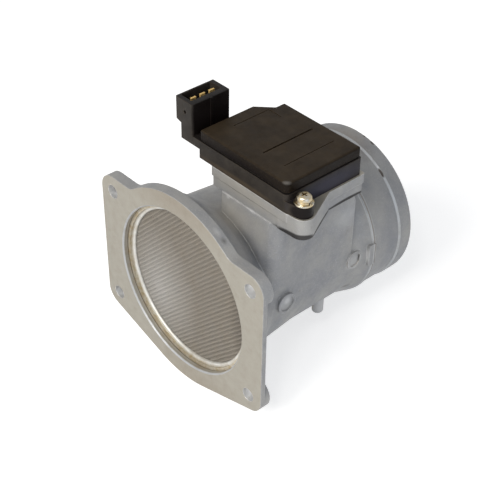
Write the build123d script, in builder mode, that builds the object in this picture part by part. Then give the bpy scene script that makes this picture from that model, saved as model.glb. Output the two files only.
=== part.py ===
"""Mass airflow sensor: cast duct with inlet screen, and a moulded sensor module on top.

Millimetres. The duct axis is Y, with the air flowing from the inlet flange at y = 0 towards +Y.
The origin is the centre of the flange's front face. +Z is up, and the module sits on top.
"""
import os
from math import cos, radians, sin, sqrt

from build123d import *

os.makedirs("parts", exist_ok=True)

# Inlet flange
bolt_spacing_x = 100.0
bolt_spacing_z = 64.0
bolt_hole_d = 7.2
bolt_ear_r = 8.75
flange_rim = 9.7
flange_thickness = 6.0
web_thickness = 2.6
ear_neck_fillet = 7.0

# Screen bore in the flange
screen_bore_r = 44.3
mouth_chamfer = 0.7
screen_bore_depth = 8.4
snap_groove_y = 3.0
snap_groove_width = 1.5
snap_groove_depth = 1.3

# Barrel and hose spigot
body_length = 119.2
inlet_wall = 3.3
inlet_neck_end = 9.5
barrel_r = 38.8
barrel_wall = 3.4
barrel_swell = 1.9
barrel_front_y = 24.0
barrel_waist_y = 46.0
spigot_length = 39.2
spigot_land_length = 28.8
spigot_r = 41.7
step_ridge_gap = 1.0
step_ridge_rise = 0.4
step_ridge_width = 1.6
bead_length = 8.2
bead_rise = 0.7
bead_ramp = 1.0
rim_round = 1.0
throat_start_y = 27.0
throat_run_out = 2.0
seat_width = 4.1
outlet_wall = 3.7
outlet_curve_length = 8.0

# Platform that carries the module
platform_top = 61.0
platform_thickness = 10.6
platform_x0 = -3.8
platform_x1 = 47.6
platform_y0 = 23.5
platform_y1 = 73.0
platform_lip = 5.0
platform_lip_step = 0.5
platform_ear_r = 5.4
platform_corner_r = 1.2
ear_toe_r = 0.5
ear_front_run = 6.0
ear_side_run = 20.0
pedestal_front_slope = 2.0
pedestal_back_slope = 5.0
pedestal_slope_height = 12.0
pedestal_cut_x = 9.4
pedestal_cut_y = 14.0
pedestal_side_round = 9.0
pedestal_cut_round = 4.0
gusset_width = 1.4
gusset_depth = 16.0
gusset_reach = 15.5
gusset_angle = 136.0
core_margin = 4.5
core_corner_r = 3.0
core_depth = 15.0
core_draft = 2.0
core_gap = 2.0

# Fixing screws of the module
screw_near_offset = (3.8, 6.0)
screw_far_offset = (-6.3, -6.8)
screw_d = 4.0
screw_engagement = 6.7
screw_point = 0.6
screw_head_d = 7.0
screw_head_h = 2.6
screw_head_round = 1.6
screw_recess_d = 3.2
screw_recess_width = 0.8
screw_recess_depth = 1.4
tapped_clearance = 0.05
tapped_run_out = 0.9
washer_clearance = 0.2
flat_washer_d = 9.0
flat_washer_h = 0.8
flat_washer_round = 0.3
spring_washer_d = 7.4
spring_washer_h = 1.0
spring_washer_gap = 1.0
spring_washer_angle = 20.0
bush_d = 6.4
bush_clearance = 0.05

# Casting marks on the sides and the underside
mark_z = 1.2
mark_root = 6.0
eject_boss_front_y = 32.0
eject_boss_front_d = 11.0
eject_boss_back_gap = 0.4
eject_boss_back_d = 10.2
eject_boss_height = 0.9
eject_dish_depth = 0.6
eject_rim = 1.3
step_pad_gap = -0.4
step_pad_length = 4.8
step_pad_height = 12.4
step_pad_rise = 0.9
step_pad_corner_r = 0.6
lug_place = (27.5, 68.5)
lug_d = 6.0
lug_height = 6.0
lug_round = 1.6

# Module base and cover
module_overhang = 8.6
module_margin = 1.0
module_front_margin = 0.1
module_back_margin = 2.4
module_corner_r = 0.9
module_near_corner_r = 2.5
base_height = 9.3
base_wall = 2.4
base_floor = 2.6
seam_gap = 0.7
cover_inset = 0.5
cover_height = 5.0
cover_edge_r = 1.0
tongue_gap = 0.15
tongue_width = 0.9
tongue_depth = 0.9
corner_cut_x = 7.7
corner_cut_y = 6.0
corner_cut_slope = 7.7
cover_roof = 1.8
module_ear_r = 4.5
module_near_ear_height = 6.0
module_far_ear_height = 5.0
module_ear_root = 1.5
module_ear_run = 7.0
rib_bold_inset = 25.4
rib_right_inset = 11.8
rib_left_inset = 8.1
rib_front_inset = 9.4
rib_back_inset = 6.6
rib_left_front_gap = 5.0
rib_left_back_gap = 4.0
rib_tick = 8.6
rib_bold_width = 1.1
rib_bold_depth = 0.6
rib_thin_width = 0.55
rib_thin_depth = 0.35

# Connector shroud and terminals
plug_gap = 4.2
plug_width = 11.9
plug_length = 22.7
plug_rise = 25.9
plug_shroud_height = 11.8
plug_step_h = 1.05
plug_neck_inset = 3.6
arm_gap = 4.75
plug_outer_wall = 0.9
plug_inner_wall = 3.4
plug_end_wall = 2.3
plug_cavity_depth = 10.8
plug_cavity_corner_r = 0.6
plug_corner_r = 0.45
plug_near_corner_r = 1.0
plug_rib_width = 1.3
plug_rib_rise = 0.5
latch_hole_inset = 6.5
latch_hole_drop = 5.9
latch_hole_d = 1.8
pin_pitch = 5.5
pin_inset = 5.7
pin_width = 3.0
pin_blade = 0.9
pin_point = 0.27
pin_recess = 0.4
pin_tail_rise = 7.8
pin_tail_reach = 2.6
pin_clearance = 0.05

# Circuit inside the module
carrier_thickness = 1.5
carrier_gap = 0.6
board_thickness = 0.9
board_length = 40.0
board_width = 30.0
board_offset = (1.9, 0.4)
chip_size = 9.0
chip_height = 1.8
chip_draft = 8.0
chip_offset = (5.0, 4.5)
transistor_size = (10.0, 7.5)
transistor_height = 2.6
transistor_draft = 5.0
transistor_offset = (-10.0, 8.5)
resistor_size = (3.2, 1.6, 0.6)
resistor_offset = (11.0, -8.5)
resistor_pitch = (5.5, 3.6)
capacitor_size = (3.2, 2.5, 1.5)
capacitor_offset = (-6.0, -10.0)
capacitor_pitch = 5.2
lead_thickness = 0.4
lead_width = 1.6
lead_foot = 2.5
lead_bend = 2.4

# Measuring channel in the duct
probe_offset = (-7.6, -0.6)
probe_length = 17.0
probe_width = 12.0
probe_corner_r = 1.5
probe_bottom = -6.0
probe_shoulder = 2.5
probe_shoulder_rim = 2.0
probe_hole_clearance = 0.8
channel_z = 3.0
channel_height = 11.0
channel_width = 8.0
channel_corner_r = 0.8
post_d = 0.9
post_length = 3.2
post_spacing_x = 5.0
post_spacing_y = 5.0
element_d = 0.7
element_rise = 0.7
probe_neck_x = 7.0
probe_neck_y = 11.0
probe_neck_corner_r = 1.0
probe_neck_clearance = 0.1

# Seals
gasket_width = 2.2
gasket_height = 1.4
gasket_margin = 1.0
gasket_corner_r = 2.0
gasket_clearance = 0.05
seal_inset = 1.0

# Inlet screen
screen_frame_width = 3.25
screen_edge_grip = 1.6
screen_frame_round = 1.1
screen_clearance = 0.15
screen_setback = 2.2
screen_layer = 0.5
screen_pitch = 7.2
screen_bar = 1.1
screen_rim = 2.0
screen_weave_angle = 41.0
snap_ring_reach = 1.6
snap_ring_side_gap = 0.12
snap_ring_opening = 24.0

# Derived places: flange, duct and screen
bolt_x = bolt_spacing_x / 2
bolt_z = bolt_spacing_z / 2
flange_ring_r = screen_bore_r + flange_rim
inlet_neck_r = screen_bore_r + inlet_wall
seat_r = screen_bore_r - seat_width
barrel_front_r = barrel_r + barrel_swell
throat_r = barrel_r - barrel_wall
spigot_start_y = body_length - spigot_length
spigot_step_y = body_length - spigot_land_length
step_ridge_y = spigot_step_y + step_ridge_gap
step_pad_y = spigot_step_y + step_pad_gap
eject_boss_back_y = spigot_start_y + eject_boss_back_gap
throat_end_y = spigot_start_y + throat_run_out
bead_y = body_length - bead_length
bead_r = spigot_r + bead_rise
spigot_inner_r = bead_r - outlet_wall
screen_frame_outer_r = screen_bore_r - screen_clearance
screen_frame_inner_r = screen_frame_outer_r - screen_frame_width
screen_y = screen_bore_depth - screen_setback
snap_ring_inner_r = screen_bore_r - snap_ring_reach
lug_root = -sqrt(throat_r**2 - lug_place[0] ** 2)
lug_bottom = -sqrt(barrel_r**2 - lug_place[0] ** 2) - lug_height

# Derived places: platform, module and connector
platform_bottom = platform_top - platform_thickness
base_seam = platform_top + base_height
cover_bottom = base_seam + seam_gap
cover_top = cover_bottom + cover_height
module_x0 = platform_x0 - module_overhang
module_x1 = platform_x1 - module_margin
module_y0 = platform_y0 + module_front_margin
module_y1 = platform_y1 - module_back_margin
module_cx = (module_x0 + module_x1) / 2
module_cy = (module_y0 + module_y1) / 2
screw_near = (platform_x1 + screw_near_offset[0], platform_y0 + screw_near_offset[1])
screw_far = (platform_x0 + screw_far_offset[0], platform_y1 + screw_far_offset[1])
screws = (screw_near, screw_far)
rib_bold_x = module_x1 - rib_bold_inset
rib_right_x = module_x1 - rib_right_inset
rib_left_x = module_x0 + rib_left_inset
rib_y0 = module_y0 + rib_front_inset
rib_y1 = module_y1 - rib_back_inset
rib_left_y0 = rib_y0 + rib_left_front_gap
rib_left_y1 = rib_y1 - rib_left_back_gap
plug_x1 = module_x0 - plug_gap
plug_x0 = plug_x1 - plug_width
plug_neck_x0 = plug_x0 + plug_neck_inset
plug_top = platform_top + plug_rise
plug_step_z = plug_top - plug_shroud_height
arm_bottom = platform_top + arm_gap
latch_hole_x = plug_x0 + latch_hole_inset
latch_hole_z = plug_top - latch_hole_drop
pin_x = plug_x0 + pin_inset
pin_tail_z = platform_top + pin_tail_rise
board_x = module_cx + board_offset[0]
board_y = module_cy + board_offset[1]
probe_x = module_cx + probe_offset[0]
probe_y = module_cy + probe_offset[1]
duct_plane = Plane.XZ
ear_top = bolt_z + bolt_ear_r
shoulder_x = probe_width + 2 * probe_shoulder_rim
shoulder_y = probe_length + 2 * probe_shoulder_rim
gusset_plane = Plane(
    origin=(*screw_near, platform_bottom),
    x_dir=(cos(radians(gusset_angle)), sin(radians(gusset_angle)), 0),
    z_dir=(sin(radians(gusset_angle)), -cos(radians(gusset_angle)), 0),
)
boss_rows = (
    (eject_boss_front_y, eject_boss_front_d, barrel_front_r + eject_boss_height),
    (eject_boss_back_y, eject_boss_back_d, barrel_r + eject_boss_height),
)
cut_x = module_x0 + corner_cut_x
cut_y = module_y1 - corner_cut_y
plug_y1 = module_y0 + plug_length
plug_cy = module_y0 + plug_length / 2
cavity_x0 = plug_x0 + plug_outer_wall
cavity_x1 = plug_x1 - plug_inner_wall
pin_top = plug_top - pin_recess
pin_end = module_x0 + base_wall + pin_tail_reach
floor_top = platform_top + base_floor
carrier_top = floor_top + carrier_thickness
board_top = carrier_top + board_thickness
channel_roof = channel_z + channel_height / 2
gasket_inner_x = shoulder_x + 2 * (probe_hole_clearance + gasket_margin)
gasket_inner_y = shoulder_y + 2 * (probe_hole_clearance + gasket_margin)
ear_heights = (module_near_ear_height, module_far_ear_height)
head_lift = flat_washer_h + spring_washer_h
screw_length = max(ear_heights) + head_lift + screw_engagement
tapped_depth = screw_length - head_lift - min(ear_heights) + tapped_run_out
washer_hole_r = screw_d / 2 + washer_clearance
screen_grip_r = screen_frame_inner_r + screen_edge_grip
screen_frame_y = snap_groove_y + snap_groove_width - snap_ring_side_gap
core_x0 = probe_x + shoulder_x / 2 + probe_hole_clearance + gasket_width + gasket_margin + core_gap
core_x1 = barrel_r - core_margin
core_width = platform_y1 - platform_y0 - 2 * core_margin - 2 * pedestal_front_slope


def ear_outline(screw, radius, near, far):
    """Ear around a screw, drawn out to a straight run from one corner to another."""
    with BuildSketch(Plane.XY) as outline:
        with Locations(screw):
            Circle(radius)
        with Locations(near, far):
            Circle(ear_toe_r)
        make_hull()
    return outline.sketch


def side_plane(side, distance):
    """Plane beside the duct at the height of the casting marks, facing away from the axis."""
    return Plane(origin=(side * distance, 0, mark_z), x_dir=(0, 1, 0), z_dir=(side, 0, 0))


platform_ears = (
    ear_outline(
        screw_near,
        platform_ear_r,
        (platform_x1 - ear_front_run, platform_y0 + ear_toe_r),
        (platform_x1 - ear_toe_r, screw_near[1] + ear_side_run),
    ),
    ear_outline(
        screw_far,
        platform_ear_r,
        (platform_x0 + ear_toe_r, screw_far[1] - ear_side_run),
        (platform_x0 + ear_front_run, platform_y1 - ear_toe_r),
    ),
)

# Pedestal: joins the platform to the barrel, with a sloped front and back and rounded corners
with BuildPart() as pedestal:
    pedestal_y0 = platform_y0 - pedestal_front_slope
    pedestal_y1 = platform_y1 + pedestal_back_slope
    with BuildSketch(Plane.XY):
        with BuildLine():
            Polyline(
                (platform_x0 + pedestal_cut_x, pedestal_y0),
                (barrel_front_r, pedestal_y0),
                (barrel_r, barrel_waist_y),
                (barrel_r, pedestal_y1),
                (platform_x0, pedestal_y1),
                (platform_x0, pedestal_y0 + pedestal_cut_y),
                close=True,
            )
        make_face()
    extrude(amount=platform_bottom)
    upright = pedestal.edges().filter_by(Axis.Z)
    fillet(upright.group_by(Axis.Y)[0].sort_by(Axis.X)[0], radius=pedestal_cut_round)
    fillet(pedestal.edges().filter_by(Axis.Z).group_by(Axis.X)[-1], radius=pedestal_side_round)
    with BuildSketch(Plane.YZ.offset(platform_x0)):
        slope_z = platform_bottom - pedestal_slope_height
        with BuildLine():
            Polyline(
                (pedestal_y0, 0),
                (pedestal_y0, slope_z),
                (platform_y0, platform_bottom),
                (platform_y1, platform_bottom),
                (pedestal_y1, slope_z),
                (pedestal_y1, 0),
                close=True,
            )
        make_face()
    extrude(amount=barrel_front_r - platform_x0, mode=Mode.INTERSECT)

# Duct housing: one casting with the flange, barrel, hose spigot and platform
with BuildPart() as duct_housing:
    with BuildSketch(Plane.XY):
        with BuildLine():
            neck = Polyline((0, 0), (inlet_neck_r, 0), (inlet_neck_r, inlet_neck_end))
            shoulder = Spline(
                neck @ 1,
                (barrel_front_r, barrel_front_y),
                tangents=((0, 1), (barrel_r - barrel_front_r, barrel_waist_y - barrel_front_y)),
            )
            Polyline(
                shoulder @ 1,
                (barrel_r, barrel_waist_y),
                (barrel_r, spigot_start_y),
                (spigot_r, spigot_step_y),
                (spigot_r, step_ridge_y),
                (spigot_r + step_ridge_rise, step_ridge_y + step_ridge_rise),
                (spigot_r + step_ridge_rise, step_ridge_y + step_ridge_width),
                (spigot_r, step_ridge_y + step_ridge_width + step_ridge_rise),
                (spigot_r, bead_y - bead_ramp),
                (bead_r, bead_y),
                (bead_r, body_length),
                (0, body_length),
                (0, 0),
            )
        make_face()
    revolve(axis=Axis.Y)
    fillet(duct_housing.edges().group_by(Axis.Y)[-1], radius=rim_round)

    # Thin plate that joins the four bolt ears
    with BuildSketch(duct_plane) as plate_outline:
        RectangleRounded(2 * (bolt_x + bolt_ear_r), 2 * (bolt_z + bolt_ear_r), bolt_ear_r)
    extrude(amount=-web_thickness)

    # Thick ring, its two straight lower flanks and the four ears
    with BuildSketch(duct_plane) as ring_outline:
        Circle(flange_ring_r)
        with Locations((-bolt_x, -bolt_z), (bolt_x, -bolt_z)):
            Circle(bolt_ear_r)
        make_hull()
        with Locations((0, -bolt_z)):
            Rectangle(4 * bolt_x, 4 * bolt_z, align=(Align.CENTER, Align.MAX), mode=Mode.INTERSECT)
        Circle(flange_ring_r)
        with GridLocations(bolt_spacing_x, bolt_spacing_z, 2, 2):
            Circle(bolt_ear_r)
        with Locations((0, bolt_z)):
            Rectangle(2 * bolt_x, 2 * bolt_ear_r)
        fillet(ring_outline.vertices().sort_by_distance((0, ear_top))[:2], radius=ear_neck_fillet)
    extrude(amount=-flange_thickness)

    # Platform with its two screw ears, and a slightly wider lip along its top
    for outline_inset, level, depth in (
        (platform_lip_step, platform_bottom, platform_thickness - platform_lip),
        (0, platform_top - platform_lip, platform_lip),
    ):
        with BuildSketch(Plane.XY.offset(level)) as platform_outline:
            with Locations(((platform_x0 + platform_x1) / 2, (platform_y0 + platform_y1) / 2)):
                RectangleRounded(
                    platform_x1 - platform_x0 - 2 * outline_inset,
                    platform_y1 - platform_y0 - 2 * outline_inset,
                    platform_corner_r,
                )
            add(platform_ears)
        extrude(amount=depth)
    add(pedestal.part)

    # Gusset under the near ear, and the lug below the barrel
    with BuildSketch(gusset_plane):
        with BuildLine():
            Polyline((0, 0), (gusset_reach, 0), (gusset_reach, -gusset_depth), close=True)
        make_face()
    extrude(amount=gusset_width / 2, both=True)
    with BuildSketch(Plane.XY.offset(lug_root)):
        with Locations(lug_place):
            Circle(lug_d / 2)
    extrude(amount=lug_bottom - lug_root)
    lug_end = duct_housing.faces().filter_by(Plane.XY).sort_by_distance((*lug_place, lug_bottom))[0]
    fillet(lug_end.edges(), radius=lug_round)

    # Two round ejector bosses on each side, and the square pad at the hose step
    for side in (-1, 1):
        for boss_y, boss_d, boss_top in boss_rows:
            with BuildSketch(side_plane(side, boss_top - mark_root)):
                with Locations((boss_y, 0)):
                    Circle(boss_d / 2)
            extrude(amount=mark_root)
    with BuildSketch(side_plane(1, spigot_r - mark_root)):
        with Locations((step_pad_y, 0)):
            RectangleRounded(step_pad_length, step_pad_height, step_pad_corner_r)
    extrude(amount=mark_root + step_pad_rise)

    # Duct inside: screen bore with its snap ring groove, seat, smooth throat and outlet
    with BuildSketch(Plane.XY):
        with BuildLine():
            mouth = Polyline(
                (0, -1),
                (screen_bore_r + mouth_chamfer + 1, -1),
                (screen_bore_r, mouth_chamfer),
                (screen_bore_r, snap_groove_y),
                (screen_bore_r + snap_groove_depth, snap_groove_y),
                (screen_bore_r + snap_groove_depth, snap_groove_y + snap_groove_width),
                (screen_bore_r, snap_groove_y + snap_groove_width),
                (screen_bore_r, screen_bore_depth),
                (seat_r, screen_bore_depth),
            )
            inlet_curve = Spline(mouth @ 1, (throat_r, throat_start_y), tangents=((-0.25, 1), (0, 1)))
            throat = Line(inlet_curve @ 1, (throat_r, throat_end_y))
            outlet_curve = Spline(
                throat @ 1,
                (spigot_inner_r, spigot_step_y + outlet_curve_length),
                tangents=((0, 1), (0, 1)),
            )
            Polyline(outlet_curve @ 1, (spigot_inner_r, body_length + 1), (0, body_length + 1), (0, -1))
        make_face()
    revolve(axis=Axis.Y, mode=Mode.SUBTRACT)

    # Bolt holes, tapped screw holes, dished bosses
    with BuildSketch(duct_plane):
        with GridLocations(bolt_spacing_x, bolt_spacing_z, 2, 2):
            Circle(bolt_hole_d / 2)
    extrude(amount=-flange_thickness, mode=Mode.SUBTRACT)
    with BuildSketch(Plane.XY.offset(platform_top)):
        with Locations(*screws):
            Circle(screw_d / 2 + tapped_clearance)
    extrude(amount=-tapped_depth, mode=Mode.SUBTRACT)
    for side in (-1, 1):
        for boss_y, boss_d, boss_top in boss_rows:
            with BuildSketch(side_plane(side, boss_top)):
                with Locations((boss_y, 0)):
                    Circle(boss_d / 2 - eject_rim)
            extrude(amount=-eject_dish_depth, mode=Mode.SUBTRACT)

    # Hole for the measuring channel, with a ledge for its shoulder, and a lightening core
    with BuildSketch(Plane.XY.offset(platform_top)):
        with Locations((probe_x, probe_y)):
            RectangleRounded(
                shoulder_x + 2 * probe_hole_clearance,
                shoulder_y + 2 * probe_hole_clearance,
                probe_corner_r + probe_hole_clearance,
            )
    extrude(amount=-probe_shoulder, mode=Mode.SUBTRACT)
    with BuildSketch(Plane.XY.offset(platform_top)):
        with Locations((probe_x, probe_y)):
            RectangleRounded(
                probe_width + 2 * probe_hole_clearance,
                probe_length + 2 * probe_hole_clearance,
                probe_corner_r + probe_hole_clearance,
            )
    extrude(amount=-platform_top, mode=Mode.SUBTRACT)
    with BuildSketch(Plane.XY.offset(platform_top)):
        with Locations(((core_x0 + core_x1) / 2, module_cy)):
            RectangleRounded(core_x1 - core_x0, core_width, core_corner_r)
    extrude(amount=-core_depth, taper=core_draft, mode=Mode.SUBTRACT)

duct_housing.part.label = "duct_housing"
export_step(duct_housing.part, "parts/duct_housing.step")


def module_outline(inset, level):
    """Outline of the module seen from above, with one corner cut back for the far screw."""
    with BuildSketch(Plane.XY.offset(level)) as outline:
        with BuildLine():
            Polyline(
                (module_x0, module_y0),
                (module_x1, module_y0),
                (module_x1, module_y1),
                (cut_x, module_y1),
                (cut_x, cut_y),
                (module_x0, cut_y - corner_cut_slope),
                close=True,
            )
        make_face()
        if inset:
            offset(amount=-inset, kind=Kind.INTERSECTION)
        near_corner = (module_x1, module_y0, 0)
        fillet(outline.vertices().sort_by_distance(near_corner)[1:], radius=module_corner_r)
        fillet(outline.vertices().sort_by_distance(near_corner)[0], radius=module_near_corner_r)
    return outline.sketch


def pin_profile(grow):
    """Side view of a terminal: an upright blade and a tail that runs into the module."""
    half = pin_blade / 2
    with BuildSketch(duct_plane) as profile:
        with BuildLine():
            Polyline(
                (pin_x - half - grow, pin_top + grow),
                (pin_x + half + grow, pin_top + grow),
                (pin_x + half + grow, pin_tail_z + half + grow),
                (pin_end + grow, pin_tail_z + half + grow),
                (pin_end + grow, pin_tail_z - half - grow),
                (pin_x - half - grow, pin_tail_z - half - grow),
                close=True,
            )
        make_face()
    return profile.sketch


module_ears = (
    ear_outline(
        screw_near,
        module_ear_r,
        (module_x1 - module_ear_root, module_y0 + ear_toe_r),
        (module_x1 - module_ear_root, screw_near[1] + module_ear_run),
    ),
    ear_outline(
        screw_far,
        module_ear_r,
        (module_x0 + ear_toe_r, cut_y - corner_cut_slope - module_ear_root),
        (cut_x + module_ear_root, module_y1 - ear_toe_r),
    ),
)
pin_places = [plug_cy + (row - 1) * pin_pitch for row in range(3)]

# Module base: moulded tray with two screw ears, and an arm that ends in the connector shroud
with BuildPart() as module_base:
    add(module_outline(0, platform_top))
    extrude(amount=base_height)
    for ear, height in zip(module_ears, ear_heights):
        with BuildSketch(Plane.XY.offset(platform_top)):
            add(ear)
        extrude(amount=height)
    with BuildSketch(Plane.XZ.offset(-module_y0)):
        with BuildLine():
            Polyline(
                (plug_neck_x0, arm_bottom),
                (plug_neck_x0, plug_step_z - plug_step_h),
                (plug_x0, plug_step_z),
                (plug_x0, plug_top),
                (plug_x1, plug_top),
                (plug_x1, base_seam),
                (module_x0 + base_wall, base_seam),
                (module_x0 + base_wall, arm_bottom),
                close=True,
            )
        make_face()
    extrude(amount=-plug_length)
    with BuildSketch(Plane.YZ.offset(plug_x1)):
        with Locations((plug_cy, (base_seam + plug_top) / 2)):
            Rectangle(plug_rib_width, plug_top - base_seam)
    extrude(amount=plug_rib_rise)
    plug_corner = (plug_x1, module_y0, plug_top)
    upright = module_base.edges().filter_by(Axis.Z).filter_by(lambda edge: edge.center().Z > plug_step_z)
    shroud_ends = upright.filter_by_position(Axis.Y, module_y0 - 0.1, module_y0 + 0.1)
    shroud_ends += upright.filter_by_position(Axis.Y, plug_y1 - 0.1, plug_y1 + 0.1)
    corners = shroud_ends.sort_by_distance(plug_corner)
    fillet(corners[1:], radius=plug_corner_r)
    upright = module_base.edges().filter_by(Axis.Z).filter_by(lambda edge: edge.center().Z > plug_step_z)
    fillet(upright.sort_by_distance(plug_corner)[0], radius=plug_near_corner_r)

    # Tray inside, shroud inside and the latch hole in its end
    add(module_outline(base_wall, floor_top))
    extrude(amount=base_height, mode=Mode.SUBTRACT)
    with BuildSketch(Plane.XY.offset(plug_top)):
        with Locations(((cavity_x0 + cavity_x1) / 2, plug_cy)):
            RectangleRounded(cavity_x1 - cavity_x0, plug_length - 2 * plug_end_wall, plug_cavity_corner_r)
    extrude(amount=-plug_cavity_depth, mode=Mode.SUBTRACT)
    with BuildSketch(Plane.XZ.offset(-module_y0)):
        with Locations((latch_hole_x, latch_hole_z)):
            Circle(latch_hole_d / 2)
    extrude(amount=-plug_end_wall, mode=Mode.SUBTRACT)

    # Slots for the terminals, the sleeves in the ears, the channel neck and the gasket groove
    for place in pin_places:
        with BuildSketch(Plane.XZ.offset(-place)):
            add(pin_profile(pin_clearance))
        extrude(amount=pin_width / 2 + pin_clearance, both=True, mode=Mode.SUBTRACT)
    with BuildSketch(Plane.XY.offset(platform_top)):
        with Locations(*screws):
            Circle(bush_d / 2 + bush_clearance)
    extrude(amount=base_height, mode=Mode.SUBTRACT)
    with BuildSketch(Plane.XY.offset(platform_top)):
        with Locations((probe_x, probe_y)):
            RectangleRounded(
                probe_neck_x + 2 * probe_neck_clearance,
                probe_neck_y + 2 * probe_neck_clearance,
                probe_neck_corner_r + probe_neck_clearance,
            )
    extrude(amount=base_floor, mode=Mode.SUBTRACT)
    with BuildSketch(Plane.XY.offset(platform_top)):
        with Locations((probe_x, probe_y)):
            RectangleRounded(
                gasket_inner_x + 2 * (gasket_width + gasket_clearance),
                gasket_inner_y + 2 * (gasket_width + gasket_clearance),
                gasket_corner_r + gasket_width,
            )
            RectangleRounded(
                gasket_inner_x - 2 * gasket_clearance,
                gasket_inner_y - 2 * gasket_clearance,
                gasket_corner_r,
                mode=Mode.SUBTRACT,
            )
    extrude(amount=gasket_height, mode=Mode.SUBTRACT)

module_base.part.label = "module_base"
export_step(module_base.part, "parts/module_base.step")

# Module cover: shallow cap with rounded top edges, three fine grooves and a locating tongue
with BuildPart() as module_cover:
    add(module_outline(cover_inset, cover_bottom))
    extrude(amount=cover_top - cover_bottom)
    fillet(module_cover.faces().sort_by(Axis.Z)[-1].edges(), radius=cover_edge_r)
    add(module_outline(base_wall + tongue_gap, cover_bottom))
    extrude(amount=-seam_gap - tongue_depth)
    add(module_outline(base_wall + tongue_gap + tongue_width, base_seam - tongue_depth))
    extrude(amount=cover_top - cover_roof - base_seam + tongue_depth, mode=Mode.SUBTRACT)
    with BuildSketch(Plane.XY.offset(cover_top)):
        with Locations((rib_bold_x, (rib_y0 + rib_y1) / 2)):
            Rectangle(rib_bold_width, rib_y1 - rib_y0)
    extrude(amount=-rib_bold_depth, mode=Mode.SUBTRACT)
    with BuildSketch(Plane.XY.offset(cover_top)):
        with Locations((rib_right_x, (rib_y0 + rib_y1) / 2)):
            Rectangle(rib_thin_width, rib_y1 - rib_y0)
        with Locations((rib_left_x, (rib_left_y0 + rib_left_y1) / 2)):
            Rectangle(rib_thin_width, rib_left_y1 - rib_left_y0)
        with Locations((rib_left_x, rib_left_y1)):
            Rectangle(rib_tick, rib_thin_width, align=(Align.MIN, Align.CENTER))
    extrude(amount=-rib_thin_depth, mode=Mode.SUBTRACT)

module_cover.part.label = "module_cover"
export_step(module_cover.part, "parts/module_cover.step")

# Seal bead in the seam, set back from the outside
with BuildPart() as cover_seal:
    add(module_outline(seal_inset, base_seam))
    extrude(amount=seam_gap)
    add(module_outline(base_wall, base_seam))
    extrude(amount=seam_gap, mode=Mode.SUBTRACT)

cover_seal.part.label = "cover_seal"
export_step(cover_seal.part, "parts/cover_seal.step")

# Gasket between the module and the platform
with BuildPart() as module_gasket:
    with BuildSketch(Plane.XY.offset(platform_top)):
        with Locations((probe_x, probe_y)):
            RectangleRounded(
                gasket_inner_x + 2 * gasket_width,
                gasket_inner_y + 2 * gasket_width,
                gasket_corner_r + gasket_width,
            )
            RectangleRounded(gasket_inner_x, gasket_inner_y, gasket_corner_r, mode=Mode.SUBTRACT)
    extrude(amount=gasket_height)

module_gasket.part.label = "module_gasket"
export_step(module_gasket.part, "parts/module_gasket.step")

# Three terminals: bent blades with a chamfered tip
for row, place in enumerate(pin_places):
    with BuildPart() as terminal_pin:
        with BuildSketch(Plane.XZ.offset(-place)):
            add(pin_profile(0))
        extrude(amount=pin_width / 2, both=True)
        chamfer(terminal_pin.faces().sort_by(Axis.Z)[-1].edges(), length=pin_point)
    terminal_pin.part.label = f"terminal_pin_{row + 1}"
    export_step(terminal_pin.part, f"parts/terminal_pin_{row + 1}.step")

# Bent strips from the terminals down to the circuit board
with BuildPart() as lead_strips:
    board_edge = board_x - board_length / 2
    for place in pin_places:
        with BuildSketch(Plane.XZ.offset(-place)):
            with BuildLine():
                Polyline(
                    (pin_end, pin_tail_z - lead_thickness / 2),
                    (pin_end, pin_tail_z + lead_thickness / 2),
                    (pin_end + lead_bend, pin_tail_z + lead_thickness / 2),
                    (board_edge + lead_thickness, board_top + lead_thickness),
                    (board_edge + lead_foot, board_top + lead_thickness),
                    (board_edge + lead_foot, board_top),
                    (board_edge, board_top),
                    (pin_end + lead_bend - lead_thickness, pin_tail_z - lead_thickness / 2),
                    close=True,
                )
            make_face()
        extrude(amount=lead_width / 2, both=True)

lead_strips.part.label = "lead_strips"
export_step(lead_strips.part, "parts/lead_strips.step")

# Carrier plate and ceramic board on the tray floor
with BuildPart() as carrier_plate:
    add(module_outline(base_wall + carrier_gap, floor_top))
    extrude(amount=carrier_thickness)

carrier_plate.part.label = "carrier_plate"
export_step(carrier_plate.part, "parts/carrier_plate.step")

with BuildPart() as circuit_substrate:
    with BuildSketch(Plane.XY.offset(carrier_top)):
        with Locations((board_x, board_y)):
            Rectangle(board_length, board_width)
    extrude(amount=board_thickness)

circuit_substrate.part.label = "circuit_substrate"
export_step(circuit_substrate.part, "parts/circuit_substrate.step")

# Parts on the board
with BuildPart() as control_chip:
    with BuildSketch(Plane.XY.offset(board_top)):
        with Locations((board_x + chip_offset[0], board_y + chip_offset[1])):
            Rectangle(chip_size, chip_size)
    extrude(amount=chip_height, taper=chip_draft)

control_chip.part.label = "control_chip"
export_step(control_chip.part, "parts/control_chip.step")

with BuildPart() as power_transistor:
    with BuildSketch(Plane.XY.offset(board_top)):
        with Locations((board_x + transistor_offset[0], board_y + transistor_offset[1])):
            Rectangle(*transistor_size)
    extrude(amount=transistor_height, taper=transistor_draft)

power_transistor.part.label = "power_transistor"
export_step(power_transistor.part, "parts/power_transistor.step")

with BuildPart() as chip_resistors:
    with BuildSketch(Plane.XY.offset(board_top)):
        with Locations((board_x + resistor_offset[0], board_y + resistor_offset[1])):
            with GridLocations(*resistor_pitch, 2, 3):
                Rectangle(resistor_size[0], resistor_size[1])
    extrude(amount=resistor_size[2])

chip_resistors.part.label = "chip_resistors"
export_step(chip_resistors.part, "parts/chip_resistors.step")

with BuildPart() as chip_capacitors:
    with BuildSketch(Plane.XY.offset(board_top)):
        with Locations((board_x + capacitor_offset[0], board_y + capacitor_offset[1])):
            with GridLocations(capacitor_pitch, 1, 3, 1):
                Rectangle(capacitor_size[0], capacitor_size[1])
    extrude(amount=capacitor_size[2])

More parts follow.
